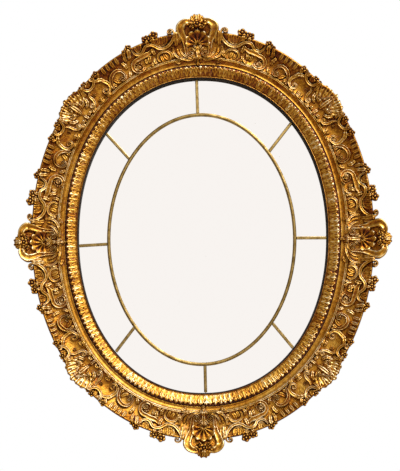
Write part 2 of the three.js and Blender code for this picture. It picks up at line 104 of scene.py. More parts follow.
angles = np.linspace(0.0, 2 * np.pi, EDGE_STEPS + 1)
edge = superellipse(angles, SIGHT_HALF_WIDTH, SIGHT_HALF_HEIGHT, SIGHT_EXPONENT)
edge[-1] = edge[0]
along = np.roll(edge[:-1], -1, axis=0) - np.roll(edge[:-1], 1, axis=0)
normals = np.stack([along[:, 1], -along[:, 0]], axis=-1)
normals /= np.linalg.norm(normals, axis=1)[:, None]
normals = np.vstack([normals, normals[:1]])
line = edge + CARVED_LINE * normals
run = np.concatenate([[0.0], np.cumsum(np.linalg.norm(np.diff(line, axis=0), axis=1))])
ROUND = run[-1]
print("the carved line is", round(ROUND), "mm round")

# %% [markdown]
# Next, the way from the drawing to the object. The real eighths differ a little in length, so
# each is drawn out or in along the line until it fits between its two stations, as a carver would
# do.

# %% Places on the carved line
EIGHTH = 396.0  # from a cartouche to a palmette in the drawing
DRAWN = 0.955  # a drawn H times this is a real one
# The cartouches and palmettes in turn along the line, from the right-hand cartouche anticlockwise.
STATIONS = np.array([-16.0, 389.0, 810.0, 1222.0, 1615.0, 1996.0, 2382.0, 2768.0])


def in_metres(flat, forward):
    """Millimetres across and up from the glass's middle, and forward of the wall, as metres."""
    points = np.stack([flat[..., 0], -forward, flat[..., 1]], axis=-1)
    return points / MM_PER_METRE - np.array([0.0, 0.0, HANGER_HEIGHT])


def place(u, h, w):
    """The point DRAWN times h outside the sight edge at u along the carved line, and w forwards."""
    turn = np.mod(u, ROUND)
    spot = np.stack([np.interp(turn, run, edge[:, i]) for i in (0, 1)], axis=-1)
    normal = np.stack([np.interp(turn, run, normals[:, i]) for i in (0, 1)], axis=-1)
    normal /= np.linalg.norm(normal, axis=-1)[..., None]
    flat = spot + normal * (DRAWN * np.asarray(h))[..., None]
    return in_metres(flat, np.asarray(w) * np.ones_like(flat[..., 0]))


def station(k):
    """Where cartouche or palmette k stands on the carved line, counted past a full round too."""
    return STATIONS[k % len(STATIONS)] + (k // len(STATIONS)) * ROUND


def on_line(k, V):
    """V, measured from station k, drawn out or in so that an eighth fits between two stations."""
    after = (station(k + 1) - station(k)) / EIGHTH
    before = (station(k) - station(k - 1)) / EIGHTH
    return station(k) + V * np.where(V > 0, after, before)


print("the first eighth is drawn out by", round((station(1) - station(0)) / EIGHTH, 3))

# %% [markdown]
# A skin is what every piece is made of: points, four-sided and three-sided faces, and for each
# point its relief, 0 in a hollow and 1 on a crest. The gilding reads it to know where the brown
# wash stayed and where the leaf is rubbed, and also to paint shade in the hollows and light on the
# crests. Curves with a bevel would make the scrolls too, but their section is the same all along
# and carries no relief, so the faces are joined here by index.

# %% Skins
def loft(loops, relief):
    """Joins a stack of closed loops with four-sided faces and closes both ends with a fan."""
    n, m, _ = loops.shape
    points = np.vstack([loops.reshape(-1, 3), loops[0].mean(axis=0), loops[-1].mean(axis=0)])
    i, j = np.meshgrid(np.arange(n - 1), np.arange(m), indexing="ij")
    a, b = i * m + j, i * m + (j + 1) % m
    quads = np.stack([a, b, b + m, a + m], axis=-1).reshape(-1, 4)
    j = np.arange(m)
    end = (n - 1) * m
    first = np.stack([np.full(m, n * m), (j + 1) % m, j], axis=-1)
    last = np.stack([np.full(m, n * m + 1), end + j, end + (j + 1) % m], axis=-1)
    tones = np.concatenate([relief.reshape(-1), [relief[0].mean(), relief[-1].mean()]])
    return {"points": points, "quads": quads, "tris": np.vstack([first, last]), "relief": tones}


def torus(loops, relief):
    """Joins a ring of closed loops with four-sided faces, the last to the first."""
    n, m, _ = loops.shape
    i, j = np.meshgrid(np.arange(n), np.arange(m), indexing="ij")
    here, ahead, beside = i * m, (i + 1) % n * m, (j + 1) % m
    quads = np.stack([here + j, here + beside, ahead + beside, ahead + j], axis=-1).reshape(-1, 4)
    none = np.zeros((0, 3), dtype=int)
    points, tones = loops.reshape(-1, 3), relief.reshape(-1)
    return {"points": points, "quads": quads, "tris": none, "relief": tones}


def outward(skin):
    """Turns the faces round where the volume inside them comes out negative."""
    p, q, t = skin["points"], skin["quads"], skin["tris"]
    corners = np.vstack([q[:, [0, 1, 2]], q[:, [0, 2, 3]], t])
    middle = p.mean(axis=0)
    a, b, c = (p[corners[:, i]] - middle for i in range(3))
    if np.einsum("ij,ij->i", a, np.cross(b, c)).sum() < 0:
        skin = dict(skin, quads=q[:, ::-1], tris=t[:, ::-1])
    return skin


square = np.array([(0.0, 0.0, 0.0), (1.0, 0.0, 0.0), (1.0, 1.0, 0.0), (0.0, 1.0, 0.0)])
cube = loft(np.stack([square, square + (0.0, 0.0, 1.0)]), np.zeros((2, 4)))
print("a loft of two squares has", len(cube["quads"]), "sides,", len(cube["tris"]), "end faces")

# %% [markdown]
# A piece is one mesh made of many skins, with its place in its points, so the object itself stays
# at the origin. Its arrays go in whole with foreach_set, which is far quicker than adding faces
# in turn.

# %% Pieces
def piece(name, skins, material):
    """Puts skins into one smooth mesh with its relief attribute, and lets it ride on the mirror."""
    skins = [outward(skin) for skin in skins]
    starts = np.cumsum([0] + [len(skin["points"]) for skin in skins])
    points = np.vstack([skin["points"] for skin in skins])
    quads, tris = (
        np.vstack([skin[faces] + start for skin, start in zip(skins, starts)])
        for faces in ("quads", "tris"))
    corners = np.concatenate([quads.reshape(-1), tris.reshape(-1)])
    sizes = np.repeat([4, 3], [len(quads), len(tris)])
    mesh = bpy.data.meshes.new(name)
    mesh.vertices.add(len(points))
    mesh.vertices.foreach_set("co", points.astype(np.float32).reshape(-1))
    mesh.loops.add(len(corners))
    mesh.loops.foreach_set("vertex_index", corners.astype(np.int32))
    mesh.polygons.add(len(sizes))
    mesh.polygons.foreach_set("loop_start", (np.cumsum(sizes) - sizes).astype(np.int32))
    mesh.polygons.foreach_set("loop_total", sizes.astype(np.int32))
    mesh.update(calc_edges=True)
    tones = mesh.attributes.new("relief", "FLOAT", "POINT")
    relief = np.concatenate([skin["relief"] for skin in skins])
    tones.data.foreach_set("value", relief.astype(np.float32))
    mesh.shade_smooth()
    mesh.materials.append(material)
    made = bpy.data.objects.new(name, mesh)
    bpy.context.scene.collection.objects.link(made)
    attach(made, "root")
    print(name, "has", 2 * len(quads) + len(tris), "triangles")
    return made


# %% [markdown]
# Materials. Colours are written as they look on a screen and turned to linear light by one
# function. One more adds any node, fills its inputs in order or by name and links what is
# another's output. The patterns are noise on Object coordinates, sized in millimetres, so they
# stay put on the object.

# %% Colour and node helpers
def linear(hex_colour):
    """Each sRGB channel v becomes ((v + 0.055) / 1.055) ** 2.4, or v / 12.92 where it is dark."""
    channels = np.array([int(hex_colour[i:i + 2], 16) for i in (1, 3, 5)]) / 255.0
    light = np.where(channels > 0.04045, ((channels + 0.055) / 1.055) ** 2.4, channels / 12.92)
    return (*[float(v) for v in light], 1.0)


def grey(value):
    """A grey of that linear value, for ramps that drive a number."""
    return (value, value, value, 1.0)


def add(tree, kind, inputs=(), stops=(), **settings):
    """Adds a node with its settings, inputs and, on a colour ramp, stops of place and colour."""
    made = tree.nodes.new(kind)
    for name, value in settings.items():
        setattr(made, name, value)
    for name, value in inputs.items() if isinstance(inputs, dict) else enumerate(inputs):
        if isinstance(value, bpy.types.NodeSocket):
            tree.links.new(value, made.inputs[name])
        else:
            made.inputs[name].default_value = value
    for i, (position, colour) in enumerate(stops):
        elements = made.color_ramp.elements
        element = elements[i] if i < len(elements) else elements.new(1.0)
        element.position = position
        element.color = colour
    return made


def new_material(name):
    """An empty node material with its principled shader and its Object coordinates."""
    made = bpy.data.materials.new(name)
    made.use_nodes = True
    tree = made.node_tree
    tree.nodes.clear()
    shader = add(tree, "ShaderNodeBsdfPrincipled")
    add(tree, "ShaderNodeOutputMaterial", {"Surface": shader.outputs["BSDF"]})
    coordinates = add(tree, "ShaderNodeTexCoord").outputs["Object"]
    return made, tree, shader, coordinates


def grain(tree, coordinates, size_mm, detail=3.0, stretch=(1.0, 1.0, 1.0)):
    """Noise with features about size_mm across, drawn out along an axis by a stretch below 1."""
    mapped = add(tree, "ShaderNodeMapping", {"Vector": coordinates, "Scale": stretch})
    noise = add(tree, "ShaderNodeTexNoise", {
        "Vector": mapped.outputs["Vector"], "Scale": MM_PER_METRE / size_mm, "Detail": detail})
    return noise.outputs["Fac"]


print("middle gold in linear light:", [round(v, 3) for v in linear("#b67c20")])

# %% [markdown]
# Water gilding: gold leaf over red bole over gesso. New leaf is bright and even; here a century of
# dusting has rubbed the crests down to paler metal and pinkish bole, and the brown toning has
# collected in the hollows. Light and shade are also painted into the colour: a painted highlight on
# sharp edges, painted shade in creases and sheltered spots, and what faces up painted paler than
# what faces down, as a light from above would show it. One gold with noise for dirt would ignore
# the carving. So the colour follows four clues: the relief that the surface carries, its sharp
# edges, how sheltered a spot is by what stands within 7 mm of it, and which way it faces, all
# broken up by two sizes of noise.

# %% Clues to wear and painted light
SHELTER_REACH = 0.007
# For each clue, the range in which it is measured and the shares of relief that its ends give.
# Sharp edges: rubbed paler, with a painted highlight; creases darker with wash and painted shade.
EDGE_WEAR_AND_PAINTED_LIGHT_CLUE = (0.44, 0.56, -0.14, 0.14)
# Sheltered spots: darker with the brown wash and with painted shade.
SHELTER_WASH_AND_PAINTED_SHADE_CLUE = (0.3, 0.85, -0.27, 0.07)
# Which way it faces: painted light, paler where it faces up and darker where it faces down, as from
# a light above.
PAINTED_TOP_LIGHT_CLUE = (-0.7, 0.7, -0.22, 0.13)


def with_clues(tree, raw):
    """The relief that the mesh carries and, for each clue, a share mapped from its own range."""
    surface = add(tree, "ShaderNodeNewGeometry").outputs
    shelter = {"Distance": SHELTER_REACH}
    open_sky = add(tree, "ShaderNodeAmbientOcclusion", shelter, samples=6).outputs["AO"]
    facing_up_for_painted_light = add(tree, "ShaderNodeSeparateXYZ", [surface["Normal"]]).outputs["Z"]
    relief = raw
    # Each share adds painted light or shade to the relief, as well as wear and wash.
    for measured, ends in (
            (surface["Pointiness"], EDGE_WEAR_AND_PAINTED_LIGHT_CLUE), (open_sky, SHELTER_WASH_AND_PAINTED_SHADE_CLUE), (facing_up_for_painted_light, PAINTED_TOP_LIGHT_CLUE)):
        share = add(tree, "ShaderNodeMapRange", [measured, *ends]).outputs[0]
        relief = add(tree, "ShaderNodeMath", [relief, share], operation="ADD").outputs[0]
    return relief


print("a spot is sheltered by what stands within", SHELTER_REACH * MM_PER_METRE, "mm of it")

# %% [markdown]
# The colours of the leaf, from a hollow to a crest: darkest where the wash lies thick and painted
# shade is added, palest where the leaf is rubbed and a painted highlight is added. Then come the
# spots where it has worn through to the bole. Where there is no leaf at all, the relief is below
# nought: on the black reveal that the glass reflects, and on the bare wood of the back.

# %% The colour of the leaf
NOISE_SWING = 0.6
BLACK_EDGE, BARE_WOOD = -1.0, -2.0
GOLD_LEAF = [
    (0.0, linear("#340e00")),  # the wash lies thick in a hollow, with painted shade
    (0.24, linear("#7a3806")),  # thin wash over bole
    (0.46, linear("#b67c20")),  # toned leaf
    (0.72, linear("#d8aa4c")),  # clean leaf
    (1.0, linear("#f8ebc8")),  # a crest rubbed pale, with a painted highlight
]
BOLE = linear("#9c6647")
REVEAL_BLACK = linear("#1a0e04")
BACK_WOOD = [(0.35, linear("#4b3421")), (0.65, linear("#6f5034"))]


def leaf_colour(tree, coordinates, relief, patches, flecks):
    """Relief and two noises pick a colour of leaf, and a third lets the bole through in spots."""
    uneven = add(tree, "ShaderNodeMath", [patches, flecks], operation="ADD").outputs[0]
    swing = add(tree, "ShaderNodeMath", [uneven, NOISE_SWING, -NOISE_SWING],
                operation="MULTIPLY_ADD").outputs[0]
    # The relief, with its painted light and shade, and the noise pick the colour of the leaf.
    tone_from_wear_and_painted_light = add(tree, "ShaderNodeMath", [relief, swing], operation="ADD", use_clamp=True).outputs[0]
    gold = add(tree, "ShaderNodeValToRGB", [tone_from_wear_and_painted_light], GOLD_LEAF).outputs[0]
    spots = grain(tree, coordinates, 12.0, 5.0)
    worn = add(tree, "ShaderNodeValToRGB", [spots], [(0.58, grey(0.0)), (0.70, grey(0.5))])
    rubbed = add(tree, "ShaderNodeMix", {0: worn.outputs[0], 6: gold, 7: BOLE}, data_type="RGBA")
    return rubbed.outputs[2]


def unleafed(tree, raw, patches):
    """Where there is no leaf, as 0 or 1, and the colour there: black, or wood for the lowest."""
    black = add(tree, "ShaderNodeMath", [raw, BLACK_EDGE / 2], operation="LESS_THAN").outputs[0]
    halfway = (BLACK_EDGE + BARE_WOOD) / 2
    bare = add(tree, "ShaderNodeMath", [raw, halfway], operation="LESS_THAN").outputs[0]
    wood = add(tree, "ShaderNodeValToRGB", [patches], BACK_WOOD).outputs[0]
    plain = add(tree, "ShaderNodeMix", {0: bare, 6: REVEAL_BLACK, 7: wood}, data_type="RGBA")
    return black, plain.outputs[2]


print("leaf has", len(GOLD_LEAF), "colours, from a hollow to a crest")

# %% [markdown]
# Leaf is metal, less so where the wash covers it, with a soft sheen, because it was laid on gesso
# that is a little rough all over. The hollows were stippled with a punch, which makes them look
# matt and darker. Bare places are dull. The stipple is bump, since it is finer than any mesh
# here.

# %% Gilded wood
PUNCHES_PER_METRE = 230.0  # coarser than a gilder's punch, so that the stipple shows


def punched_gesso(tree, coordinates, raw):
    """A bump: three times the punch marks in the hollows, and fine chips all over."""
    punched = add(tree, "ShaderNodeTexVoronoi", {"Vector": coordinates, "Scale": PUNCHES_PER_METRE})
    hollow = add(tree, "ShaderNodeValToRGB", [raw], [(0.47, grey(1.0)), (0.5, grey(0.0))])
    marks = [punched.outputs["Distance"], hollow.outputs[0]]
    stipple = add(tree, "ShaderNodeMath", marks, operation="MULTIPLY").outputs[0]
    chips = grain(tree, coordinates, 2.4, 3.0)
    height = add(tree, "ShaderNodeMath", [stipple, 3.0, chips], operation="MULTIPLY_ADD").outputs[0]
    bump = add(tree, "ShaderNodeBump", {"Height": height, "Strength": 0.3, "Distance": 0.0009})
    return bump.outputs["Normal"]


def gilded_wood():
    """Each of colour, metal and roughness is the leaf's, or the bare one where there is no leaf."""
    made, tree, shader, coordinates = new_material("water_gilding_over_bole")
    raw = add(tree, "ShaderNodeAttribute", attribute_name="relief").outputs["Fac"]
    relief = with_clues(tree, raw)
    patches = grain(tree, coordinates, 60.0)
    flecks = grain(tree, coordinates, 8.0, 4.0)
    gold = leaf_colour(tree, coordinates, relief, patches, flecks)
    black, plain = unleafed(tree, raw, patches)
    colour = add(tree, "ShaderNodeMix", {0: black, 6: gold, 7: plain}, data_type="RGBA")
    leafed = add(tree, "ShaderNodeValToRGB", [relief], [(0.0, grey(0.55)), (0.4, grey(0.85))])
    metal = add(tree, "ShaderNodeMix", {0: black, 2: leafed.outputs[0], 3: 0.0}, data_type="FLOAT")
    sheen = add(tree, "ShaderNodeValToRGB", [flecks], [(0.3, grey(0.36)), (0.75, grey(0.50))])
    dull = add(tree, "ShaderNodeMix", {0: black, 2: sheen.outputs[0], 3: 0.95}, data_type="FLOAT")
    tree.links.new(colour.outputs[2], shader.inputs["Base Color"])
    tree.links.new(metal.outputs[0], shader.inputs["Metallic"])
    tree.links.new(dull.outputs[0], shader.inputs["Roughness"])
    tree.links.new(punched_gesso(tree, coordinates, raw), shader.inputs["Normal"])
    return made


GILDING = gilded_wood()


def carved(name, skins):
    """A piece of the gilded carving."""
    return piece(name, skins, GILDING)


print(GILDING.name, "has", len(GILDING.node_tree.nodes), "nodes")

# %% [markdown]
# The glass is silvered plate. A clear sheet over a mirror would be the true build, but it adds
# only a second, weaker reflection, so the surface is its silver alone: a near perfect mirror,
# with a few brown foxing specks, dull to the eye, where damp has reached it.

# %% Silvered glass
FOXING = (0.735, 0.76)  # the specks lie where the noise is above these


def silvered_glass():
    """Noise above the first level mixes silver with brown and makes it rougher up to the second."""
    made, tree, shader, coordinates = new_material("silvered_plate_glass")
    specks = grain(tree, coordinates, 16.0, 6.0)
    foxed, rough = (
        add(tree, "ShaderNodeValToRGB", [specks], list(zip(FOXING, map(grey, ends)))).outputs[0]
        for ends in ((0.0, 0.7), (0.02, 0.35)))
    colour = add(tree, "ShaderNodeMix", {0: foxed, 6: linear("#fbfbf8"), 7: linear("#8d7a60")},
                 data_type="RGBA")
    tree.links.new(colour.outputs[2], shader.inputs["Base Color"])
    shader.inputs["Metallic"].default_value = 1.0
    tree.links.new(rough, shader.inputs["Roughness"])
    return made


SILVER = silvered_glass()
print(SILVER.name, "has", len(SILVER.node_tree.nodes), "nodes")

# %% [markdown]
# The slips are rolled brass strip, gone a dull grey gold that still glints along its top. The
# hanging plate is thicker brass, yellower and closer in grain, and the screws are blued steel,
# dark and smooth. One recipe makes all three: tarnish is noise that darkens and roughens the
# metal in patches. The backboard is sawn pine, stained brown: long fibres over a broader figure,
# and no shine.

# %% Brass, steel and pine
def aged_metal(name, light, dark, rough, size_mm):
    """Metal from dark to light by noise of that size, and rougher by 0.15 where it is dark."""
    made, tree, shader, coordinates = new_material(name)
    tarnish = grain(tree, coordinates, size_mm, 4.0)
    for socket, stops in (
            ("Base Color", [(0.3, linear(dark)), (0.65, linear(light))]),
            ("Roughness", [(0.3, grey(rough + 0.15)), (0.7, grey(rough))])):
        shade = add(tree, "ShaderNodeValToRGB", [tarnish], stops).outputs[0]
        tree.links.new(shade, shader.inputs[socket])
    shader.inputs["Metallic"].default_value = 1.0
    bump = add(tree, "ShaderNodeBump", {"Height": tarnish, "Strength": 0.15, "Distance": 0.0003})
    tree.links.new(bump.outputs["Normal"], shader.inputs["Normal"])
    return made


def stained_pine():
    """The mean of fine fibres and a broad figure, both drawn out along the board, is the brown."""
    made, tree, shader, coordinates = new_material("stained_pine")
    fibres = grain(tree, coordinates, 3.0, 5.0, stretch=(1.0, 1.0, 0.04))
    figure = grain(tree, coordinates, 34.0, 4.0, stretch=(1.0, 1.0, 0.12))
    both = add(tree, "ShaderNodeMath", [fibres, figure], operation="ADD").outputs[0]
    mean = add(tree, "ShaderNodeMath", [both, 0.5], operation="MULTIPLY").outputs[0]
    brown = add(tree, "ShaderNodeValToRGB", [mean], [
        (0.32, linear("#4a3220")), (0.5, linear("#7b5939")), (0.68, linear("#a07d55"))])
    tree.links.new(brown.outputs[0], shader.inputs["Base Color"])
    shader.inputs["Roughness"].default_value = 0.82
    bump = add(tree, "ShaderNodeBump", {"Height": fibres, "Strength": 0.4, "Distance": 0.0005})
    tree.links.new(bump.outputs["Normal"], shader.inputs["Normal"])
    return made


SLIP_BRASS = aged_metal("tarnished_brass_strip", "#b89c60", "#7d6536", 0.4, 14.0)
HANGER_BRASS = aged_metal("rolled_brass_plate", "#b89650", "#7d622c", 0.35, 9.0)
STEEL = aged_metal("blued_steel", "#77757a", "#3c3b42", 0.35, 4.0)
PINE = stained_pine()
print("finishes:", ", ".join(made.name for made in (SLIP_BRASS, HANGER_BRASS, STEEL, PINE)))

# %% [markdown]
# The ground of the frame is the turned moulding that the carving stands on. Seen in section from
# the glass outwards it is a small lip, the bed of the leaf band, a groove, a plain cove, two thin
# fillets, the hollow carved field and the rim, then a plain side that slopes back to the wall. It
# is drawn as pairs of H and W. The rim swells outwards behind each cartouche and palmette, and
# only the part of the section outside the fillets is drawn out there, so the mouldings keep an
# even width.

# %% The frame's section
CARTOUCHE_GROWTH = 32.5
DIAGONAL_GROWTH = 11.5
FIELD_START, RIM_OFFSET = 88.0, 130.0
FRAME_BACK = 2.8
LEDGE = 17.3  # the front of the mirror plates
OVERHANG_BACK = 56.0  # the flat back of carving that stands out over the rim
FRONT_SECTION = np.array([
    (0.0, 33.5), (0.9, 35.6), (2.6, 36.9), (4.6, 36.8), (6.0, 35.8), (7.0, 35.4),
    (14.0, 37.5), (22.0, 40.5), (30.0, 42.5), (36.0, 41.0), (38.4, 40.2), (39.2, 41.0),
    (39.9, 42.6), (41.2, 42.9), (43.0, 42.0), (46.0, 42.0), (49.0, 43.2), (52.0, 45.6),
    (54.6, 49.2), (55.4, 50.9), (56.4, 51.6), (57.4, 51.2), (58.0, 50.1), (58.7, 50.6),
    (59.7, 51.9), (60.9, 51.6), (61.7, 50.2), (63.0, 48.9), (68.0, 47.8), (75.0, 47.4),
    (84.0, 48.2), (93.0, 50.2), (102.0, 53.6), (110.0, 57.6), (117.0, 62.6), (123.0, 68.0),
    (126.5, 72.8), (128.5, 75.4), (130.0, 76.4), (131.8, 76.0), (133.2, 74.3), (134.2, 71.0),
])
BACK_SECTION = np.array([
    (132.8, 63.0), (129.6, 49.0), (126.5, 33.0), (122.0, 16.5), (118.5, 4.2), (117.3, FRAME_BACK),
    (90.0, FRAME_BACK), (60.0, FRAME_BACK), (30.0, FRAME_BACK), (8.6, FRAME_BACK), (8.0, 3.4),
    (8.0, 10.0), (8.0, 16.9), (7.6, LEDGE), (4.0, LEDGE), (0.5, LEDGE), (0.0, 17.8), (0.0, 25.0),
])


def ease(low, high, value):
    """0 below low, 1 above high, and 3 t^2 - 2 t^3 between them."""
    t = np.clip((value - low) / (high - low), 0.0, 1.0)
    return t * t * (3.0 - 2.0 * t)


def growth(U):
    """How much further out the rim lies at U: more at a cartouche, less at a palmette."""
    U = np.abs(U)
    at_cartouche = CARTOUCHE_GROWTH * (1 - ease(34.0, 57.0, U))
    at_palmette = DIAGONAL_GROWTH * (1 - ease(18.0, 52.0, EIGHTH - U))
    return at_cartouche + at_palmette


def ground(U, H):
    """The section's height at H, read where H was before the rim was drawn out by the growth."""
    span = RIM_OFFSET - FIELD_START
    drawn_in = FIELD_START + (H - FIELD_START) * span / (span + growth(U))
    before = np.where(H > FIELD_START, drawn_in, H)
    return np.interp(np.minimum(before, RIM_OFFSET), FRONT_SECTION[:, 0], FRONT_SECTION[:, 1])


print("the section has", len(FRONT_SECTION) + len(BACK_SECTION), "points and its rim stands",
      FRONT_SECTION[:, 1].max(), "mm off the wall")

# %% [markdown]
# The ring is that section carried once round the sight edge. It is a torus of loops, so it needs
# no ends, and the relief is read from the place across the section: black on the edge that the
# glass reflects, dark in the groove and between the fillets, bright on the fillets and bare at
# the back.

# %% The frame's ground
RING_LOOPS = 800
SIDE_STAYS, SIDE_BLEND = 100.0, 10.0  # the back is drawn out only beyond the first, over the second
# Pairs of H and relief, from the lip to the rim.
RELIEF_ACROSS = [
    (0, 0.6), (3, 0.8), (7, 0.2), (36, 0.2), (39, 0.0), (41, 0.52), (46, 0.5), (54, 0.54),
    (56.4, 0.68), (58, 0.16), (59.7, 0.66), (62, 0.5), (70, 0.5), (100, 0.48), (118, 0.38),
    (130, 0.3), (134, 0.2),
]
SIDE_RELIEF = 0.3
LIP_POINTS, REBATE_POINTS = 3, 8  # the first and last of the section, black beside the glass
section = np.vstack([FRONT_SECTION, BACK_SECTION])
drawn_out = np.clip(np.concatenate([
    (FRONT_SECTION[:, 0] - FIELD_START) / (RIM_OFFSET - FIELD_START),
    (BACK_SECTION[:, 0] - SIDE_STAYS) / SIDE_BLEND,
]), 0.0, 1.0)
section_relief = np.interp(section[:, 0], *zip(*RELIEF_ACROSS))
section_relief[len(FRONT_SECTION):] = SIDE_RELIEF
section_relief[len(FRONT_SECTION) + BACK_SECTION[:, 1].argmin():-REBATE_POINTS] = BARE_WOOD
section_relief[-REBATE_POINTS:] = BLACK_EDGE
section_relief[:LIP_POINTS] = BLACK_EDGE


def eighth_of(u):
    """U, from 0 at a cartouche to EIGHTH at a palmette, at u along the carved line."""
    turns = np.arange(-1, len(STATIONS) + 2)
    return np.interp(u, [station(k) for k in turns], EIGHTH * (turns % 2))


ring_u = STATIONS[0] + np.arange(RING_LOOPS) * ROUND / RING_LOOPS
ring_h = section[None, :, 0] + drawn_out[None, :] * growth(eighth_of(ring_u))[:, None]
ring_loops = place(ring_u[:, None], ring_h, section[None, :, 1])
ring_skin = torus(ring_loops, np.tile(section_relief, (RING_LOOPS, 1)))
ground_piece = carved("frame_ground", [ring_skin])
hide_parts("frame")

# %% [markdown]
# The band of leaves next to the glass: 192 upright leaves, each with a raised rib and ruffled
# halves, that lean out to a bright ridge and turn over into the groove, with a small dart between
# each two. One leaf could be modelled and copied, but no two were cut quite alike. So the band is
# one ring whose height is a function of the place across the leaf and along it, and each leaf
# gets its own lean, boldness and ruffles.

# %% One leaf of the band
BAND_FOOT, BAND_TIP = 6.2, 35.5
TIP_NOTCH = 4.0  # how far the edge falls back between two tips
RIB_HALF, CHANNEL_AT, CHANNEL_HALF = 0.2, 0.36, 0.14
RUFFLES = 2.1
DART_SHARE = 0.8
# Up the leaf from its foot, 0, to its tip, 1: the heights of its rib and of the bed between leaves,
# and the half widths of leaf and dart, as shares of half a pitch.
band_q = np.array([
    0.0, 0.07, 0.15, 0.23, 0.31, 0.39, 0.47, 0.55, 0.63, 0.71, 0.79, 0.87, 0.94, 1.0])
leaf_rise = np.interp(band_q, [0, .1, .5, .8, .92, 1], [36.8, 40.0, 46.2, 50.7, 51.8, 48.4])
bed_rise = np.interp(band_q, [0, .1, .5, .8, .92, 1], [35.8, 38.0, 43.0, 46.6, 46.2, 42.5])
leaf_reach = np.interp(band_q, [0, .15, .4, .6, .8, .92, 1], [.86, .98, .9, .84, .9, .8, .4])
dart_reach = np.interp(band_q, [0, .3, .5, .75, .95, 1], [.04, .12, .22, .26, .12, .04])
lift = leaf_rise - bed_rise
print("a leaf stands", round(float(lift.max()), 1), "mm above its bed")

# %% [markdown]
# Now each leaf gets its own lean, boldness and ruffles, and all of them are worked out at once:
# one row of the grid for each step round the frame, one column for each place up the leaf.

# %% All the leaves at once
LEAVES = 192
STEPS_PER_LEAF = 16
leaf_steps = np.arange(LEAVES * STEPS_PER_LEAF)
band_u = STATIONS[0] + leaf_steps * ROUND / len(leaf_steps)
phase = 2.0 * np.mod(leaf_steps / STEPS_PER_LEAF, 1.0)[:, None] - 1.0
hand = np.random.default_rng(5)


def per_leaf(middle, spread):
    """One random number for each leaf, the same all across it."""
    return np.repeat(hand.normal(middle, spread, LEAVES), STEPS_PER_LEAF)[:, None]


lean, boldness, ruffle_shift = per_leaf(0.1, 0.3), per_leaf(1.0, 0.22), per_leaf(0.0, 0.3)
leant = phase + lean * (1 - np.abs(phase)) * np.sin(2.4 * band_q)[None, :]
across = np.abs(leant) / leaf_reach[None, :]
cover = 1.0 - ease(0.78, 1.08, across)
channel = np.exp(-((np.abs(leant) - CHANNEL_AT) / CHANNEL_HALF) ** 2)
rib = np.exp(-(leant / RIB_HALF) ** 2) - 0.7 * channel
ruffle = np.cos(2 * np.pi * (RUFFLES * band_q[None, :] + ruffle_shift - 0.8 * across))
profile = 0.8 - 0.3 * np.clip(across, 0, 1) ** 2 + 0.18 * rib + (0.1 + 0.13 * across) * ruffle
tongue = lift[None, :] * boldness * profile
from_dart = (1 - np.abs(phase)) / dart_reach[None, :]
dart = DART_SHARE * lift[None, :] * (1 - ease(0.5, 1.1, from_dart))
band_w = bed_rise[None, :] + cover * tongue + (1 - cover) * dart
band_h = BAND_FOOT + (BAND_TIP - BAND_FOOT) * band_q[None, :]
band_h = band_h - TIP_NOTCH * (1 - cover) * ease(0.5, 1.0, band_q)[None, :]

# The underside is let into the ground, and follows the notches along its outer edge.
under_h, under_w = np.array([35.0, 28.0, 18.0, 8.0]), np.array([36.0, 33.0, 32.0, 32.0])
notched = np.array([1, 0, 0, 0])
under = np.tile(under_h, (len(band_u), 1)) - TIP_NOTCH * (1 - cover[:, -1:]) * notched
full_h = np.hstack([band_h, under])
full_w = np.hstack([band_w, np.tile(under_w, (len(band_u), 1))])
stands = (band_w - bed_rise[None, :]) / (lift + 1.5)[None, :]
band_relief = np.clip(0.2 + 0.74 * stands, 0, 1) ** 1.1
full_relief = np.hstack([band_relief, np.zeros_like(under)])
carved("leaf_band", [torus(place(band_u[:, None], full_h, full_w), full_relief)])

# %% [markdown]
# The carver's strokes. A scroll, stem or leaf is one strand: a section carried along a path in U
# and H. A path is a bend through a few points, a volute that winds in to its eye, or both in
# turn. Bezier curves would need two handles at each point, while a bend works its slopes out from
# its neighbours, and a volute needs only its centre, its two radii and its two angles.

# %% Paths
BEND_STEPS = 12
VOLUTE_STEPS = 60
FINENESS = 4
SMOOTHINGS = 3


def bend(*points):
    """A smooth curve through the points: each stretch is a cubic that shares its end slopes.

    The slope at a point is half the step from the point before it to the point after it."""
    p = np.array(points, dtype=float)
    p = np.vstack([2 * p[0] - p[1], p, 2 * p[-1] - p[-2]])
    t = np.linspace(0, 1, BEND_STEPS, endpoint=False)[:, None]
    a, b, c, d = p[:-3, None], p[1:-2, None], p[2:-1, None], p[3:, None]
    square_part = (2 * a - 5 * b + 4 * c - d) * t ** 2
    cubic_part = (3 * b - a - 3 * c + d) * t ** 3
    curve = 0.5 * (2 * b + (c - a) * t + square_part + cubic_part)
    return np.vstack([curve.reshape(-1, 2), p[-2:-1]])


def volute(centre, start_radius, end_radius, start_angle, end_angle):
    """A spiral about a centre: the radius falls evenly in its logarithm while the angle runs on."""
    t = np.linspace(0, 1, VOLUTE_STEPS)
    radius = start_radius * (end_radius / start_radius) ** t
    angle = np.radians(start_angle + (end_angle - start_angle) * t)
    U, H = centre[0] + radius * np.cos(angle), centre[1] + radius * np.sin(angle)
    return np.stack([U, H], axis=-1)


def route(n, *parts):
    """Joins parts end to end, evens out the corners where they meet and spaces n points evenly."""
    p = np.vstack(parts)
    length = np.concatenate([[0.0], np.cumsum(np.linalg.norm(np.diff(p, axis=0), axis=1))])
    moves = np.concatenate([[True], np.diff(length) > 1e-6])
    even = np.linspace(0, length[-1], FINENESS * n)
    fine = np.stack([np.interp(even, length[moves], p[moves, i]) for i in (0, 1)], axis=-1)
    for _ in range(SMOOTHINGS):
        fine[1:-1] = (fine[:-2] + 2 * fine[1:-1] + fine[2:]) / 4
    pick = np.linspace(0, FINENESS * n - 1, n)
    return np.stack([np.interp(pick, np.arange(FINENESS * n), fine[:, i]) for i in (0, 1)], axis=-1)


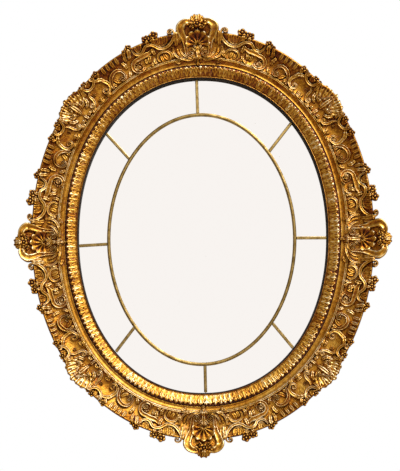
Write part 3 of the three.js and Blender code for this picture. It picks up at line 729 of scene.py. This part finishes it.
curl = route(60, volute((21, 74), 13.4, 3.2, 20, -480))
curl_length = np.linalg.norm(np.diff(curl, axis=0), axis=1).sum()
print("the great scroll's curl is", round(float(curl_length)), "mm long")

# %% [markdown]
# Sections of a strand, from one edge over the top to the other. A scroll has two raised edges
# with a flat between them and a broad scroll a hollow, a leaf has a sunk vein between two full
# halves, and a stem is round. Each strand has its own half width and rise at each point, stands
# on the ground and is let into it, as a carver leaves it. A bevelled curve would lie on the
# ground like a wire.

# %% Strands
ROOT = 6.0  # how deep carving is let into the ground
HIGHEST = 88.5  # no carving stands further off the wall
SCALLOP, SCALLOP_BACK = 0.42, 0.24
FLUTE, FLUTE_LEVEL, FLUTE_SLANT = 0.34, 0.6, 0.9
SECTION_ACROSS = np.array([-1.0, -0.95, -0.8, -0.55, -0.28, 0.0, 0.28, 0.55, 0.8, 0.95, 1.0])
SECTIONS = {
    "hollow": np.array([-0.3, 0.62, 1.0, 0.9, 0.7, 0.64, 0.7, 0.9, 1.0, 0.62, -0.3]),
    "scroll": np.array([-0.3, 0.5, 0.94, 0.98, 0.86, 0.82, 0.86, 0.98, 0.94, 0.5, -0.3]),
    "leaf": np.array([-0.3, 0.4, 0.8, 1.0, 0.94, 0.7, 0.94, 1.0, 0.8, 0.4, -0.3]),
    "stem": np.array([-0.3, 0.3, 0.66, 0.88, 0.98, 1.0, 0.98, 0.88, 0.66, 0.3, -0.3]),
}


def strand(path, half, rise, section="scroll", lobes=0):
    """Carries a section along a path: each point is the path's, its side step, and ground and rise.

    half and rise give the half width and the height along the path from 0 to 1. Lobes scallops the
    edges that many times and cuts slanting flutes between the lobes."""
    t = np.linspace(0, 1, len(path))
    along_path = np.gradient(path, axis=0)
    along_path /= np.linalg.norm(along_path, axis=1)[:, None]
    side = np.stack([-along_path[:, 1], along_path[:, 0]], axis=-1)
    half, rise = half(t), rise(t)
    spread = np.abs(SECTION_ACROSS)[None, :]
    scallop, flutes = 1.0 + 0.0 * spread, 0.0
    if lobes:
        beat = np.pi * lobes * t[:, None]
        scallop = 1.0 + (SCALLOP * np.abs(np.sin(beat)) - SCALLOP_BACK) * spread
        flutes = FLUTE * spread * (np.abs(np.sin(beat - FLUTE_SLANT * spread)) - FLUTE_LEVEL)
    U, H = (
        path[:, None, i] + side[:, None, i] * half[:, None] * SECTION_ACROSS[None, :] * scallop
        for i in (0, 1))
    bed = ground(path[:, 0], path[:, 1])[:, None]
    foot = bed * (1 - 0.5 * spread) + np.minimum(ground(U, H), bed + 4) * 0.5 * spread
    shape = SECTIONS[section][None, :] + flutes * (spread < 0.98)
    W = np.minimum(foot + rise[:, None] * shape, HIGHEST)
    beyond = H > RIM_OFFSET + growth(U)
    low = np.where(beyond, OVERHANG_BACK, np.minimum(ground(U, H), W) - ROOT)
    U, H = (np.hstack([values, values[:, [-1, 0]]]) for values in (U, H))
    W = np.hstack([W, low[:, [-1, 0]]])
    tone = np.clip(shape, 0, 1) ** 0.8 * np.clip(rise / 9.0, 0.6, 1.0)[:, None]
    relief = np.hstack([np.clip(0.08 + 0.56 * tone, 0, 1), np.zeros((len(path), 2))])
    return loft(np.stack([U, H, W], axis=-1), relief)


print("strand sections:", ", ".join(SECTIONS), "with", len(SECTION_ACROSS), "points over the top")

# %% [markdown]
# A strand's half width and its rise are functions of the place along it, from 0 to 1. Most
# strokes of a gouge swell and fade, a scroll narrows towards its eye, and a few end bluntly. A
# function says so in a word, where a list of sizes would have to be as long as the path.

# %% How a stroke swells
def swelling(most, ends=0.25, power=0.7):
    """most in the middle, and that share of it at both ends."""
    return lambda t: most * (ends + (1 - ends) * np.sin(np.pi * np.clip(t, 0, 1)) ** power)


def blunt(height, tip=0.1):
    """One height that closes quickly to a third of it over the last stretch of each end."""
    return lambda t: height * (0.3 + 0.7 * ease(0, tip, t)) * (0.3 + 0.7 * ease(0, tip, 1 - t))


def narrowing(*pairs):
    """Straight runs between pairs of place along the path, from 0 to 1, and value."""
    places, values = zip(*pairs)
    return lambda t: np.interp(t, places, values)


quarters = np.linspace(0, 1, 5)
print("a stroke that swells to 4 mm:", [round(float(v), 1) for v in swelling(4.0)(quarters)])

# %% [markdown]
# Flowers are rosettes cut in petals round a button, with a flat back where they stand free of the
# rim. Separate petals would leave gaps that no carver leaves in gesso, so a flower is a stack of
# loops whose radius waves. The same function with no petals makes the round eyes of the volutes.

# %% Rosettes
# From the foot, up over the petals and down to the dip, then up on the button: the radius, the
# height, how much of the petals' wave is felt and how bright it is.
FLOWER_REACH = np.array([0.45, 0.84, 1.0, 0.98, 0.84, 0.6, 0.36, 0.26, 0.18, 0.05])
FLOWER_HEIGHT = np.array([0.0, 0.0, 0.45, 0.72, 0.94, 1.0, 0.7, 0.9, 1.0, 1.04])
PETAL_SHARE = np.array([1.0, 1.0, 1.0, 1.0, 1.0, 0.6, 0.2, 0.0, 0.0, 0.0])
FLOWER_TONE = np.array([0.0, 0.0, 0.3, 0.5, 0.66, 0.5, 0.05, 0.5, 0.7, 0.75])


def rosette(centre, radius, petals, front, back, rise=4.0, spin=0.0):
    """Loops round a centre whose radius and height swing with the cosine of petals times the angle.

    One side of the flower is a little larger than the other, turned by twice its spin."""
    m = max(8 * petals, 12)
    angle = np.linspace(0, 2 * np.pi, m, endpoint=False) + np.pi / m
    wave, outline = np.ones(m), np.ones(m)
    if petals:
        wave = 0.5 + 0.5 * np.cos(petals * (angle - spin))
        outline = 0.8 + 0.2 * wave ** 0.5 * (1 + 0.3 * np.cos(angle - 2.0 * spin))
    share = PETAL_SHARE[:, None]
    shape = FLOWER_REACH[:, None] * (1 - share * (1 - outline[None, :]))
    U = centre[0] + radius * shape * np.cos(angle)[None, :]
    H = centre[1] + radius * shape * np.sin(angle)[None, :]
    crest = front - back + rise
    dip = 0.55 * rise * share * (1 - wave[None, :] ** 0.5) * (FLOWER_HEIGHT[:, None] > 0.4)
    W = np.minimum(back + crest * FLOWER_HEIGHT[:, None] - dip, HIGHEST + 2)
    W[0], W[1] = back, back + 0.5
    relief = np.clip(0.12 + 0.6 * FLOWER_TONE[:, None] * (0.5 + 0.5 * wave[None, :]), 0, 1)
    return loft(np.stack([U, H, W], axis=-1), relief)


def on_ground(centre, radius, petals, rise, spin=0.0, lift=0.0):
    """A rosette whose back is let into the ground under its centre."""
    U, H = (np.array(value) for value in centre)
    bed = float(ground(U, H)) + lift
    outside = centre[1] > RIM_OFFSET - 4 + float(growth(U))
    back = OVERHANG_BACK if outside else bed - ROOT
    return rosette(centre, radius, petals, bed, back, rise, spin)


print("a five-petalled flower has", len(on_ground((112, 143), 13, 5, 9)["points"]), "points")

# %% [markdown]
# Each eighth of the carving runs from a cartouche to a palmette. A drawing is a list of skins in
# U, H and W, and is set out to the right of each cartouche and, mirrored, to its left. Array and
# Mirror modifiers repeat a shape in x and z, which can't follow the oval, so the points are set
# out instead.

# %% Setting out
CARTOUCHES = (0, 2, 4, 6)
DIAGONALS = (1, 3, 5, 7)
BOTH = (1, -1)


def set_out(skins, stations, sides=(1,)):
    """Copies skins to each station, mirrored where the side is -1, as places in metres."""
    copies = []
    for k in stations:
        for side in sides:
            for skin in skins:
                U, H, W = skin["points"].T
                copies.append(dict(skin, points=place(on_line(k, side * U), H, W)))
    return copies


print("each drawing of an eighth is set out", len(CARTOUCHES) * len(BOTH), "times")

# %% [markdown]
# The scrolls by the cartouche. On the real frame the great side scroll comes down from the top of
# the shell and winds in beside its foot, fine lines run under it towards the glass, and a wavy
# festoon hangs under the flowers along the rim. Each is a strand, so its points are few and can
# be read off from a drawing. The great scroll has a hollow section, because its face is broad.

# %% Scrolls by the cartouche
cartouche_scrolls = [
    # The great side scroll.
    strand(route(110, bend(
        (14, 163), (26, 164), (37, 158), (43, 146), (41, 131), (36, 115), (34, 100), (34, 86)),
        volute((21, 74), 13.4, 3.2, 20, -480)),
        narrowing((0, 5), (0.05, 9), (0.2, 11.5), (0.36, 9.5), (0.48, 6.5), (0.6, 4.6),
                  (0.75, 3.0), (1, 2.2)),
        narrowing((0, 6), (0.08, 13), (0.4, 12), (1, 10)), "hollow"),
    # Three lines under it.
    strand(route(34, bend((49, 92), (47, 78), (39, 67), (28, 60), (16, 58))),
           swelling(3.2, 0.5), swelling(9, 0.6)),
    strand(route(30, bend((58, 92), (56, 78), (47, 66), (34, 59))),
           swelling(6.5, 0.4), swelling(4.5, 0.5), "stem"),
    strand(route(40, bend((68, 98), (69, 84), (64, 70), (53, 61), (40, 55), (26, 53), (14, 54))),
           swelling(3.8, 0.5), swelling(10, 0.6)),
    # The festoon, and a line inside each of its two hanging loops.
    strand(route(150, volute((70, 139), 2.4, 9.6, -240, 180), bend(
        (59.5, 133), (64, 121), (73, 109), (86, 101), (99, 100), (110, 104), (118, 112), (127, 118),
        (140, 119), (148, 114), (154, 108), (162, 106), (170, 108), (176, 115), (179, 125))),
        narrowing((0, 2.0), (0.2, 2.4), (0.35, 4.8), (0.9, 4.2), (1, 1.8)),
        narrowing((0, 11), (0.3, 9), (0.4, 13), (1, 10))),
    strand(route(24, bend((80, 121), (88, 111), (99, 108), (108, 112), (113, 121))),
           swelling(2.0), swelling(8)),
    strand(route(20, bend((152, 125), (157, 116), (165, 114), (171, 122))),
           swelling(1.8), swelling(7)),
    # A horseshoe that opens towards the glass.
    strand(route(40, bend((114, 64), (119, 76), (112, 88), (98, 92), (84, 87), (79, 74), (84, 63))),
           swelling(4.0, 0.4), swelling(9, 0.6)),
]
carved("cartouche_scrolls", set_out(cartouche_scrolls, CARTOUCHES, BOTH))

# %% [markdown]
# The scrolls of the border between cartouche and palmette: a ring scroll with a curl inside it,
# an arched scroll, a flank scroll, a hanging scroll under the rim and a last one beside the
# palmette. Each volute ends in a small round eye, a rosette with no petals that hides where the
# strand stops.

# %% Scrolls of the border
border_scrolls = [
    # The ring and the curl inside it.
    strand(route(96, bend((128, 106), (140, 99), (152, 98), (166, 97)),
                 volute((178, 76), 20.5, 16, 104, -150)),
           narrowing((0, 3), (0.15, 8), (0.35, 6.4), (1, 4.0)),
           narrowing((0, 6), (0.15, 11), (1, 10)), "hollow"),
    strand(route(44, volute((181, 73), 9.6, 2.4, -70, 400)),
           narrowing((0, 2.6), (1, 1.9)), narrowing((0, 9), (1, 11))),
    # The arch.
    strand(route(80, volute((238, 74), 3.0, 11.5, 260, -180), bend(
        (226, 82), (231, 94), (243, 100), (256, 98), (268, 90), (275, 77), (279, 63))),
        narrowing((0, 2.2), (0.4, 3.2), (0.7, 6.0), (1, 2.8)),
        narrowing((0, 11), (0.5, 10), (0.8, 13), (1, 9)), "hollow"),
    # The flank.
    strand(route(80, bend((296, 110), (286, 99), (281, 86), (283, 73)),
                 volute((299, 77), 13, 3.0, 205, 640)),
           narrowing((0, 2.0), (0.2, 5.6), (0.5, 3.8), (1, 2.2)),
           narrowing((0, 8), (0.3, 11), (1, 10))),
    # The hanging scroll.
    strand(route(60, volute((310, 127), 2.4, 5, 480, 190),
                 bend((306, 121), (313, 113), (325, 109), (336, 112), (342, 121)),
                 volute((347, 125), 5, 2.4, 210, -50)),
           swelling(4.2, 0.5), blunt(11)),
    # Beside the palmette.
    strand(route(60, bend((338, 108), (344, 98), (345, 84), (349, 74)),
                 volute((358, 77), 9, 2.6, 200, 620)),
           narrowing((0, 2.0), (0.3, 4.4), (1, 2.0)), narrowing((0, 8), (0.3, 11), (1, 10))),
]
EYE_LIFT = 4.0
eyes = [
    on_ground(spot, radius, 0, rise, lift=EYE_LIFT) for spot, radius, rise in [
        ((21, 74), 2.8, 8), ((70, 139), 2.4, 7), ((181, 73), 2.4, 7), ((238, 74), 2.8, 7),
        ((299, 77), 2.8, 7), ((358, 77), 2.4, 6)]
]
carved("border_scrolls", set_out(border_scrolls + eyes, CARTOUCHES, BOTH))

# %% [markdown]
# The leaves by the cartouches: ruffled leaves that fill the gaps between the scrolls, and smooth
# ones with no lobes where the real carving is only gouged. Each is a strand with the leaf
# section. A leaf cut from a flat sheet would have no body, and this one stands on the ground and
# casts a shadow.

# %% Leaves by the cartouches
def leaf(half, rise, lobes, *points):
    """A strand with a sunk vein and scalloped edges through the points.

    Its path has five points for each lobe and three more, and at least twelve."""
    path = route(max(12, 5 * lobes + 3), bend(*points))
    return strand(path, swelling(half, 0.25, 0.6), swelling(rise, 0.4, 0.6), "leaf", lobes)


near_leaves = [
    leaf(6.6, 9, 4, (60, 97), (58, 110), (58, 124), (54, 138)),
    leaf(5.0, 8, 3, (50, 104), (49, 116), (50, 130)),
    leaf(5.0, 9, 3, (78, 66), (72, 76), (76, 88)),
    leaf(4.6, 8, 2, (52, 50), (62, 50), (72, 56)),
    leaf(7.6, 6, 0, (83, 131), (86, 119), (92, 108)),
    leaf(7.6, 6, 0, (96, 133), (98, 120), (101, 106)),
    leaf(6.6, 6, 0, (108, 131), (109, 120), (107, 108)),
    leaf(7.0, 5, 0, (90, 66), (96, 76), (98, 88)),
    leaf(6.0, 5, 0, (104, 64), (107, 73), (107, 84)),
    leaf(6.2, 10, 3, (126, 112), (126, 100), (122, 88)),
    leaf(5.4, 9, 3, (126, 82), (130, 72), (126, 62)),
    leaf(6.0, 9, 3, (136, 94), (143, 84), (144, 72)),
    leaf(5.0, 8, 2, (136, 74), (138, 67), (146, 62)),
    leaf(5.0, 8, 2, (150, 90), (154, 82), (152, 72)),
    leaf(7.0, 5, 0, (153, 131), (157, 122), (161, 112)),
    leaf(5.0, 5, 0, (168, 131), (167, 122), (164, 112)),
    leaf(5.4, 9, 2, (116, 134), (118, 126), (120, 116)),
    leaf(5.0, 9, 2, (134, 133), (134, 126), (132, 117)),
]
carved("leaves_by_the_cartouches", set_out(near_leaves, CARTOUCHES, BOTH))

# %% [markdown]
# The leaves by the palmettes: more of the same, a row of small drops that hang under the plain
# stretch of rim, and a fan of leaflets inside the ring scroll. Drops and leaflets are evenly
# spaced on the real frame, so loops place them.

# %% Leaves by the palmettes
DROPS, FIRST_DROP, DROP_PITCH = 4, 227, 14.5
RING_CENTRE, LEAFLET_FROM, LEAFLET_TO = (180, 74), 9, 15
far_leaves = [
    leaf(6.2, 11, 2, (186, 132), (189, 120), (195, 106)),
    leaf(5.0, 9, 3, (200, 130), (204, 118), (204, 104)),
    leaf(5.6, 9, 3, (218, 112), (213, 100), (212, 86)),
    leaf(5.2, 9, 3, (208, 80), (212, 70), (220, 62)),
    leaf(6.6, 6, 0, (246, 66), (257, 74), (262, 87)),
    leaf(5.0, 8, 2, (264, 64), (270, 70), (270, 80)),
    leaf(6.6, 10, 4, (281, 95), (289, 107), (300, 114), (309, 117)),
    leaf(5.0, 8, 2, (286, 128), (290, 120), (296, 116)),
    leaf(6.4, 5, 0, (322, 131), (325, 122), (327, 113)),
    leaf(4.6, 8, 3, (316, 71), (327, 70), (339, 72)),
    leaf(5.0, 8, 3, (318, 62), (330, 61), (342, 63)),
    leaf(5.0, 9, 3, (346, 132), (350, 120), (349, 106)),
    leaf(4.6, 8, 2, (292, 61), (302, 60), (312, 62)),
    leaf(4.6, 8, 2, (356, 62), (364, 64), (370, 72)),
]
drops = []
for i in range(DROPS):
    U = FIRST_DROP + DROP_PITCH * i
    drops.append(leaf(5.4, 9, 0, (U, 131), (U, 121), (U - 1, 109)))
ring_fan = []
for angle in np.radians(np.arange(-20, 230, 34)):
    outwards = float(np.cos(angle)), float(np.sin(angle))
    foot, tip = (
        tuple(middle + radius * way for middle, way in zip(RING_CENTRE, outwards))
        for radius in (LEAFLET_FROM, LEAFLET_TO))
    ring_fan.append(leaf(2.9, 8, 0, foot, tip))
carved("leaves_by_the_palmettes", set_out(far_leaves + drops + ring_fan, CARTOUCHES, BOTH))

# %% [markdown]
# The flowers stand up over the rim and break its outline: three together next to the cartouche,
# then three pairs towards the palmette. Two small ones lie on the field. The cartouche itself is
# crowned by a bunch of seven florets and a spray of five leaves. They are rosettes of three to
# five petals, each with its own spin, so that no two neighbours look stamped.

# %% Flowers
side_flowers = [
    on_ground((112, 143), 13, 5, 9, 0.3),
    on_ground((134, 140), 11.5, 5, 8, 0.9),
    on_ground((122, 133), 8, 4, 8, 0.4),
    on_ground((184, 137), 10.5, 5, 8, 0.2),
    on_ground((196, 132), 8.5, 4, 7, 0.7),
    on_ground((291, 130), 10, 5, 7, 0.5),
    on_ground((302, 129), 7, 4, 6, 0.2),
    on_ground((332, 131), 10, 5, 7, 1.0),
    on_ground((345, 131), 8, 4, 6, 0.1),
    on_ground((332, 92), 6.0, 5, 8, 0.6),
    on_ground((75, 100), 5.0, 5, 8, 0.2),
]
bunch = [
    rosette((U, H), radius, petals, front, OVERHANG_BACK, 6.0, 0.7 * i)
    for i, (U, H, radius, petals, front) in enumerate([
        (-19, 163, 12.5, 4, 80), (20, 162, 12.5, 4, 79), (0, 156, 12, 5, 82), (-35, 160, 8, 3, 76),
        (35, 160, 8, 3, 76), (-12, 147, 7, 3, 80), (14, 147, 7, 3, 79)])
]
for aside, top in ((-13, 181), (13, 181), (-6, 186), (6, 186), (0, 184)):
    rise = 12 if aside == 0 else 6
    bunch.append(leaf(5.6, rise, 2, (0.2 * aside, 160), (0.7 * aside, 171), (aside, top)))
carved("flowers", set_out(side_flowers, CARTOUCHES, BOTH) + set_out(bunch, CARTOUCHES))

# %% [markdown]
# The shell of each cartouche is a fan of seven flutes that open from a hinge, each ending in a
# round lobe, with a bud of leaves hanging under it towards the glass. Seven strands side by side
# would leave slits between them, so a fan is one surface over the angle and the way out from the
# hinge.

# %% Shells
POINTS_PER_FLUTE = 9
# Out from the hinge: the share of the way, the height, and the depth of the grooves between flutes.
# The flute climbs from the hinge, dips, and rolls over at its edge.
FLUTE_CLIMB = np.array([0.08, 0.2, 0.34, 0.5, 0.64, 0.76, 0.86, 0.93, 0.98, 1.01, 1.0])
FLUTE_LIFT = np.array([0.7, 0.62, 0.52, 0.46, 0.5, 0.62, 0.84, 1.0, 0.9, 0.4, -0.5])
FLUTE_GROOVE = np.array([0.1, 0.22, 0.3, 0.34, 0.38, 0.42, 0.5, 0.56, 0.56, 0.3, 0.0])


def shell_fan(hinge, middle, half_width, half_height, spread, count, rise):
    """A fan of flutes as one surface: W is the ground and rise times the lift less the groove.

    The edge is an arc about the middle, drawn in a little where two flutes meet."""
    turn = np.radians(np.linspace(-spread, spread, count * POINTS_PER_FLUTE + 1))
    beat = np.abs(np.sin(np.linspace(0, count * np.pi, len(turn))))
    reach = 1.0 - 0.16 * (1 - beat) ** 1.5
    edge_U = half_width * np.sin(turn) * reach
    edge_H = middle + half_height * np.cos(turn) * reach
    U = FLUTE_CLIMB[None, :] * edge_U[:, None]
    H = hinge + FLUTE_CLIMB[None, :] * (edge_H - hinge)[:, None]
    shape = FLUTE_LIFT[None, :] - FLUTE_GROOVE[None, :] * (1 - beat[:, None] ** 0.7)
    bed = np.minimum(ground(U, H), ground(0.0 * U, H))
    W = np.minimum(bed + rise * shape, HIGHEST)
    back = (U[:, ::-1], H[:, ::-1], np.minimum(bed, W)[:, ::-1] - ROOT)
    loops = np.stack([np.hstack(pair) for pair in zip((U, H, W), back)], axis=-1)
    face = np.clip(0.08 + 0.62 * np.clip(shape, 0, 1) ** 1.2, 0, 1)
    return loft(loops, np.hstack([face, np.zeros_like(face)]))


shell = [shell_fan(99.0, 106.0, 35.0, 34.0, 118.0, 7, 15.0)]
bud = [
    strand(route(34, bend((0, 96), (0, 70), (0, 38))), narrowing((0, 3), (0.3, 6), (1, 3.4)),
           swelling(12, 0.5), "leaf", 4),
    on_ground((0, 41), 5.0, 0, 10),
]
for side in BOTH:
    bud.append(leaf(3.4, 11, 0, (side * 1, 80), (side * 6, 90), (side * 12, 98)))
    bud.append(leaf(3.0, 9, 0, (side * 4, 72), (side * 9, 82), (side * 18, 92)))
    bud.append(leaf(3.4, 9, 2, (side * 2, 64), (side * 7, 55), (side * 10, 46)))
print("a shell has", len(shell[0]["points"]), "points, and its bud", len(bud), "parts")

# %% [markdown]
# The diagonal palmette is a smaller shell of five flutes with seven ruffled leaves fanned out
# round it, a curl on each side and small leaves at its foot. It is drawn whole, about U = 0,
# because it is even on both sides, and the loops over both sides draw each thing once.

# %% Palmettes
FAN_TIPS = [(0, 151), (17, 147), (-17, 147), (33, 144), (-33, 144), (47, 136), (-47, 136)]
fan = [shell_fan(92.0, 100.0, 18.0, 20.0, 110.0, 5, 17.0)]
for aside, top in FAN_TIPS:
    foot = (aside * 0.35, 90 + abs(aside) * 0.12)
    belly = (aside * 0.78, 0.5 * (foot[1] + top) - 1)
    fan.append(strand(route(26, bend(foot, belly, (aside, top))), swelling(9.0, 0.4, 0.5),
                      narrowing((0, 7), (0.6, 12), (0.9, 14), (1, 8)), "leaf", 4))
for side in BOTH:
    start, end = (170, 600) if side > 0 else (10, -420)
    stalk = bend((side * 2, 133), (side * 10, 120), (side * 17, 108))
    fan.append(strand(route(44, stalk, volute((side * 25, 106), 7.5, 2.2, start, end)),
                      narrowing((0, 2.4), (1, 1.8)), narrowing((0, 18), (0.5, 15), (1, 13))))
    fan.append(on_ground((side * 25, 106), 2.4, 0, 13, lift=2.0))
    fan.append(leaf(5.6, 12, 3, (side * 20, 84), (side * 34, 92), (side * 40, 108)))
    fan.append(leaf(4.4, 9, 3, (side * 8, 64), (side * 16, 70), (side * 24, 66)))
    fan.append(leaf(4.4, 9, 2, (side * 20, 60), (side * 28, 62), (side * 34, 60)))
fan.append(leaf(7.0, 18, 0, (0, 84), (0, 108), (0, 133)))
fan.append(leaf(5.0, 11, 2, (0, 82), (0, 72), (0, 60)))
carved("shells_and_palmettes", set_out(shell + bud, CARTOUCHES) + set_out(fan, DIAGONALS))

# %% [markdown]
# The slips are half-round brass strips: an oval hoop over the joint between the centre plate and
# the border, and eight short bars over the joints of the border plates. The bars are smooth
# enough as solids. The hoop's solid is faceted, so its section is carried round the ellipse
# again, more finely.

# %% The oval slip
HOOP_LOOPS = 360
SLIP_HALF_WIDTH, SLIP_HALF_HEIGHT = 264.0, 356.0
OVAL_CENTRE = np.array([-3.0, -11.0])
SLIP_HALF = 5.0
SLIP_HEIGHT = 6.5
over = np.linspace(np.pi, 0, 17)
strip_across = np.concatenate([np.cos(over), [0.9, 0.0, -0.9]])
strip_height = np.concatenate([np.sin(over) ** 0.8, [0.0, 0.0, 0.0]])


def hoop(loops):
    """The half-round section carried round an ellipse, stepped outwards along its normal."""
    a = np.linspace(0, 2 * np.pi, loops, endpoint=False)
    cosine, sine = np.cos(a), np.sin(a)
    spot = OVAL_CENTRE + np.stack([SLIP_HALF_WIDTH * cosine, SLIP_HALF_HEIGHT * sine], axis=-1)
    normal = np.stack([SLIP_HALF_HEIGHT * cosine, SLIP_HALF_WIDTH * sine], axis=-1)
    normal /= np.linalg.norm(normal, axis=1)[:, None]
    flat = spot[:, None] + normal[:, None] * (SLIP_HALF * strip_across)[None, :, None]
    forward = (LEDGE + SLIP_HEIGHT * strip_height)[None, :] * np.ones_like(flat[..., 0])
    return torus(in_metres(flat, forward), np.tile(0.3 + 0.7 * strip_height, (loops, 1)))


oval_piece = piece("slip_oval_strip", [hoop(HOOP_LOOPS)], SLIP_BRASS)
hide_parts("slip_oval")

# %% [markdown]
# The mirror plates, the slip bars, the backboard, the hanging plate and its screws are plain
# things with flat faces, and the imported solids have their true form. Making them again would only
# risk a gap, so they stay as they are and get their finish.

# %% Plain pieces keep their CAD form
FINISHES = {
    "mirror_plate": SILVER,
    "slip_bar": SLIP_BRASS,
    "backboard": PINE,
    "hanging_plate": HANGER_BRASS,
    "hanger_screw": STEEL,
}
for start, finish in FINISHES.items():
    dressed = [node_object for name, node_object in nodes.items() if name.startswith(start)]
    for node_object in dressed:
        node_object.data.materials.clear()
        node_object.data.materials.append(finish)
    print(len(dressed), "x", start, "in", finish.name)

# %% [markdown]
# The surroundings. The view transform is Standard, so the colours of the materials come out as
# they were written. The camera sees a white background, while the object is lit by a faint warm
# one, as if by a room behind it. A picture of a room would light the gold too, but no texture
# file is wanted here.

# %% The world
WHITE, WHITE_STRENGTH = (1.0, 1.0, 1.0, 1.0), 1.0
WARM, WARM_STRENGTH = (1.0, 0.78, 0.55, 1.0), 0.16

scene = bpy.context.scene
scene.view_settings.view_transform = "Standard"
scene.view_settings.look = "None"

world = bpy.data.worlds.new("studio")
scene.world = world
world.use_nodes = True
sky = world.node_tree
sky.nodes.clear()
ray = add(sky, "ShaderNodeLightPath").outputs["Is Camera Ray"]
seen = add(sky, "ShaderNodeBackground", {"Color": WHITE, "Strength": WHITE_STRENGTH}).outputs[0]
felt = add(sky, "ShaderNodeBackground", {"Color": WARM, "Strength": WARM_STRENGTH}).outputs[0]
chosen = add(sky, "ShaderNodeMixShader", [ray, felt, seen]).outputs[0]
add(sky, "ShaderNodeOutputWorld", {"Surface": chosen})
print("the warm surroundings have a strength of", WARM_STRENGTH)

# %% [markdown]
# The key light at the upper right models the carving, a faint fill opens the shadows on the left,
# and a low light behind shows the back in other views. The camera sees none of them. A mirror
# shows what stands before it, so a large white card reaches from behind the camera up towards the
# key for the glass to reflect. Small lamps would throw hard shadows, so each light is a broad
# softbox.

# %% Lights
CENTRE = (0.0, 0.0, -HANGER_HEIGHT)
CARD_X, CARD_Z = 0.95, 0.8


def softbox(name, position, target, side, power, colour):
    """A square area light at a place, turned to face a target."""
    data = bpy.data.lights.new(name, "AREA")
    data.shape = "RECTANGLE"
    data.size = data.size_y = side
    data.energy = power
    data.color = colour
    made = bpy.data.objects.new(name, data)
    scene.collection.objects.link(made)
    made.location = position
    facing = np.array(target) - np.array(position)
    facing /= np.linalg.norm(facing)
    yaw = np.arctan2(facing[1], facing[0]) - np.pi / 2
    pitch = np.arctan2(facing[2], np.hypot(facing[0], facing[1]))
    made.rotation_euler = (np.pi / 2 + pitch, 0.0, yaw)
    made.visible_camera = False
    print(name, "is", side, "m across and gives", power, "W")


softbox("key_upper_right", (1.6, -2.1, 2.1), CENTRE, 2.8, 208.0, (1.0, 0.97, 0.91))
softbox("fill_left", (-2.6, -2.6, 0.2), CENTRE, 1.8, 6.0, (1.0, 0.95, 0.88))
softbox("low_light_behind", (-1.6, 3.0, 0.6), CENTRE, 2.0, 24.0, (1.0, 0.96, 0.9))
softbox("card_for_the_glass", (CARD_X, -5.2, CARD_Z), (CARD_X, 0.0, CARD_Z), 4.4, 51.0,
        (0.97, 0.965, 1.0))

# %% [markdown]
# The floor is pale and even, and only other views show it. It lies far below the mirror, which
# hangs on a wall, so that it throws little light up on the rim.

# %% The floor
FLOOR_SIZE, FLOOR_LEVEL = 8.0, -2.1
bpy.ops.mesh.primitive_plane_add(size=FLOOR_SIZE, location=(0.0, 0.0, FLOOR_LEVEL))
floor = bpy.context.object
floor.name = "floor"
floor_material, floor_tree, floor_shader, floor_coordinates = new_material("pale_studio_floor")
floor_tone = add(floor_tree, "ShaderNodeValToRGB", [grain(floor_tree, floor_coordinates, 300.0)], [
    (0.3, linear("#d8d2c9")), (0.7, linear("#dfdad2"))])
floor_tree.links.new(floor_tone.outputs[0], floor_shader.inputs["Base Color"])
floor_shader.inputs["Roughness"].default_value = 0.7
floor.data.materials.append(floor_material)
print("the floor lies", -FLOOR_LEVEL, "m below the hanging plate")
